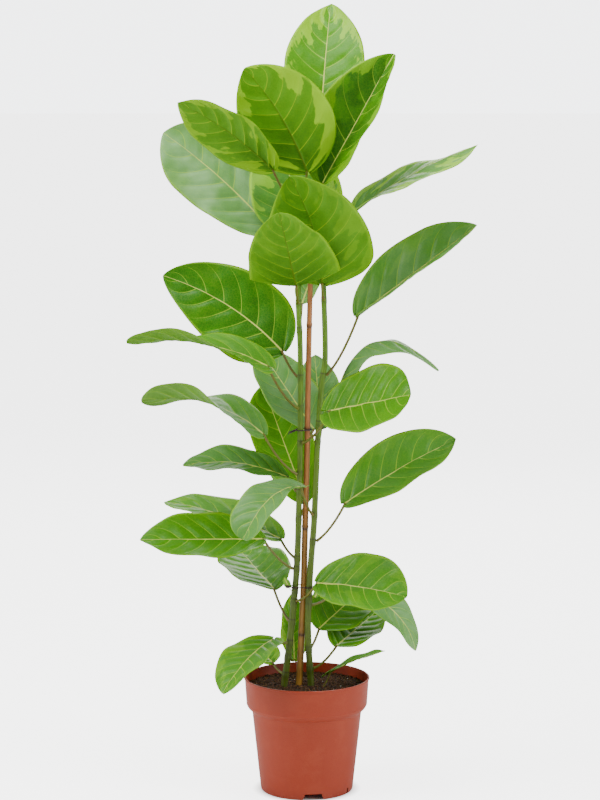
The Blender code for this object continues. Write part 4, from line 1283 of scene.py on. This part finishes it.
# %% The body of the soil
GAP = 0.0003
TOP_RINGS = 56
soil_wall = body_top - POT_WALL - GAP
share = (SOIL_LEVEL - band_low - POT_WALL) / (POT_HEIGHT - band_low - POT_WALL)
soil_edge = (band_radius - POT_WALL - GAP) + (RIM_RADIUS - BEAD_OUT - band_radius) * share
soil_profile = [Vector(p) for p in (
    (0.0, POT_WALL + GAP), (PAD_RADIUS - GAP, POT_WALL + GAP), (PAD_RADIUS - GAP, step_up + GAP),
    (BASE_RADIUS + inner_taper * step_up - POT_WALL - GAP - 0.001, step_up + GAP),
    (soil_wall - 0.001, shoulder_low), (band_radius - POT_WALL - GAP - 0.001, band_low + 0.004))]
soil_profile += [Vector((soil_edge * k / TOP_RINGS, SOIL_LEVEL)) for k in range(TOP_RINGS, 0, -1)]
soil_profile.append(Vector((0.0, SOIL_LEVEL)))
soil_mesh = turned("soil_body", soil_profile, POT_SEGMENTS)
for vertex in soil_mesh.vertices:
    if abs(vertex.co.z - SOIL_LEVEL) < 1e-5:
        place = vertex.co
        calm = max(0.0, 1.0 - (place.xy.length / soil_edge) ** 6)
        broad = hills.noise(place * 34.0) * 0.0024
        crumbs = hills.noise(place * 190.0) * 0.0012 + hills.noise(place * 420.0) * 0.0006
        vertex.co.z += (broad + crumbs) * (0.25 + 0.75 * calm) - 0.0008
soil_mesh.shade_smooth()
print("soil body faces:", len(soil_mesh.polygons))


# %% Soil finishes
def soil_skin(name, dark, light, rough, size):
    skin, tree, _, place = new_skin(name, dark[:3], rough)
    shade = step(tree, "ShaderNodeAttribute", out="Fac", attribute_name="shade")
    grain = noise(tree, place, size, 4.0)
    colour = blend(tree, (grain.ramp(0.35, 0.75) * 0.5 + shade * 0.5), dark, light)
    painted(tree, colour, 0.7, 0.001, grain)
    return skin


peat_skin = soil_skin("peat", paint(38, 22, 12), paint(104, 68, 40), 0.95, 420.0)
bark_skin = soil_skin("bark_bits", paint(78, 46, 24), paint(158, 108, 62), 0.9, 500.0)
perlite_skin = soil_skin("perlite", paint(205, 200, 192), paint(240, 238, 232), 0.85, 600.0)

# %% The scatter tree: crumbs, shreds and grains over the top of the soil, as many per square metre
CRUMBS = 52000.0
SHREDS = 20000.0
GRAINS = 900.0
CRUMB_SIZE = 0.0034
SCATTER_SEED = 4
BEND = 0.0012
scatter_tree, take, scatter_end = new_tree("soil scatter", "GeometryNodeTree", [
    ("Geometry", GEOMETRY, None), ("Crumbs", FLOAT, CRUMBS), ("Shreds", FLOAT, SHREDS),
    ("Grains", FLOAT, GRAINS), ("Crumb Size", FLOAT, CRUMB_SIZE), ("Seed", WHOLE, SCATTER_SEED),
    ("Peat", SURFACE, None), ("Bark", SURFACE, None), ("Perlite", SURFACE, None),
], [("Geometry", GEOMETRY)])
net = scatter_tree
place_x, place_y, place_z = step(net, "GeometryNodeInputPosition").parts()
_, _, up_part = step(net, "GeometryNodeInputNormal").parts()
reach = (place_x * place_x + place_y * place_y).call("sqrt")
on_top = (place_z.maths("GREATER_THAN", SOIL_LEVEL - 0.006) * up_part.maths("GREATER_THAN", 0.3)
    * reach.maths("LESS_THAN", soil_edge - 0.003))


def scattered(density, seed_shift, shape, smallest, largest, stretch, skin):
    spots = step(net, "GeometryNodeDistributePointsOnFaces",
        {"Mesh": take["Geometry"], "Selection": on_top, "Density": density,
         "Seed": take["Seed"].maths("ADD", float(seed_shift))}, distribute_method="RANDOM")
    turn = step(net, "FunctionNodeRandomValue", {"Min": (0.0,) * 3, "Max": (math.tau,) * 3,
        "Seed": seed_shift + 20}, data_type="FLOAT_VECTOR")
    size = step(net, "FunctionNodeRandomValue", {"Min": smallest, "Max": largest, "Seed": seed_shift + 40},
        out=1, data_type="FLOAT")
    grow = joined(net, size, size * stretch, size * 0.7)
    put = step(net, "GeometryNodeInstanceOnPoints", {"Points": spots, "Instance": shape, "Rotation": turn,
        "Scale": grow})
    shade = step(net, "FunctionNodeRandomValue", {"Min": 0.0, "Max": 1.0, "Seed": seed_shift + 60}, out=1,
        data_type="FLOAT")
    put = stored(net, put, "shade", shade, "FLOAT", "INSTANCE")
    put = step(net, "GeometryNodeRealizeInstances", {"Geometry": put})
    uneven = noise(net, step(net, "GeometryNodeInputPosition"), 900.0, 1.0, out=1)
    bent = uneven.minus((0.5, 0.5, 0.5)).times(BEND)
    return skinned(net, step(net, "GeometryNodeSetPosition", {"Geometry": put, "Offset": bent}), skin)


crumb = step(net, "GeometryNodeMeshIcoSphere", {"Radius": 1.0, "Subdivisions": 2})
shred = step(net, "GeometryNodeMeshCylinder", {"Vertices": 5, "Radius": 0.45, "Depth": 5.0,
    "Side Segments": 3})
whole = gathered(net, (
    skinned(net, take["Geometry"], take["Peat"]),
    scattered(take["Crumbs"], 0, crumb, take["Crumb Size"] * 0.25, take["Crumb Size"] * 0.9, 1.2,
              take["Peat"]),
    scattered(take["Shreds"], 1, shred, 0.0007, 0.0017, 0.8, take["Bark"]),
    scattered(take["Grains"], 2, crumb, 0.0008, 0.0018, 1.0, take["Perlite"])))
net.links.new(whole.socket, scatter_end.inputs[0])

soil = run_tree("soil_with_bits", scatter_tree, soil_mesh,
    {"Crumbs": CRUMBS, "Shreds": SHREDS, "Grains": GRAINS, "Crumb Size": CRUMB_SIZE,
     "Seed": SCATTER_SEED, "Peat": peat_skin, "Bark": bark_skin, "Perlite": perlite_skin})
print("soil faces:", len(soil.data.polygons))
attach(soil, "root")
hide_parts("potting_soil")

# %% [markdown]
# ## The plant's size beside the CAD's size
# The plant's box is printed as the frame gave it and as it is now.

# %% Print both boxes and finish
visual_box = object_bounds()
print("CAD box:", [[round(v, 4) for v in p] for p in cad_box])
print("visual box:", [[round(v, 4) for v in p] for p in visual_box])
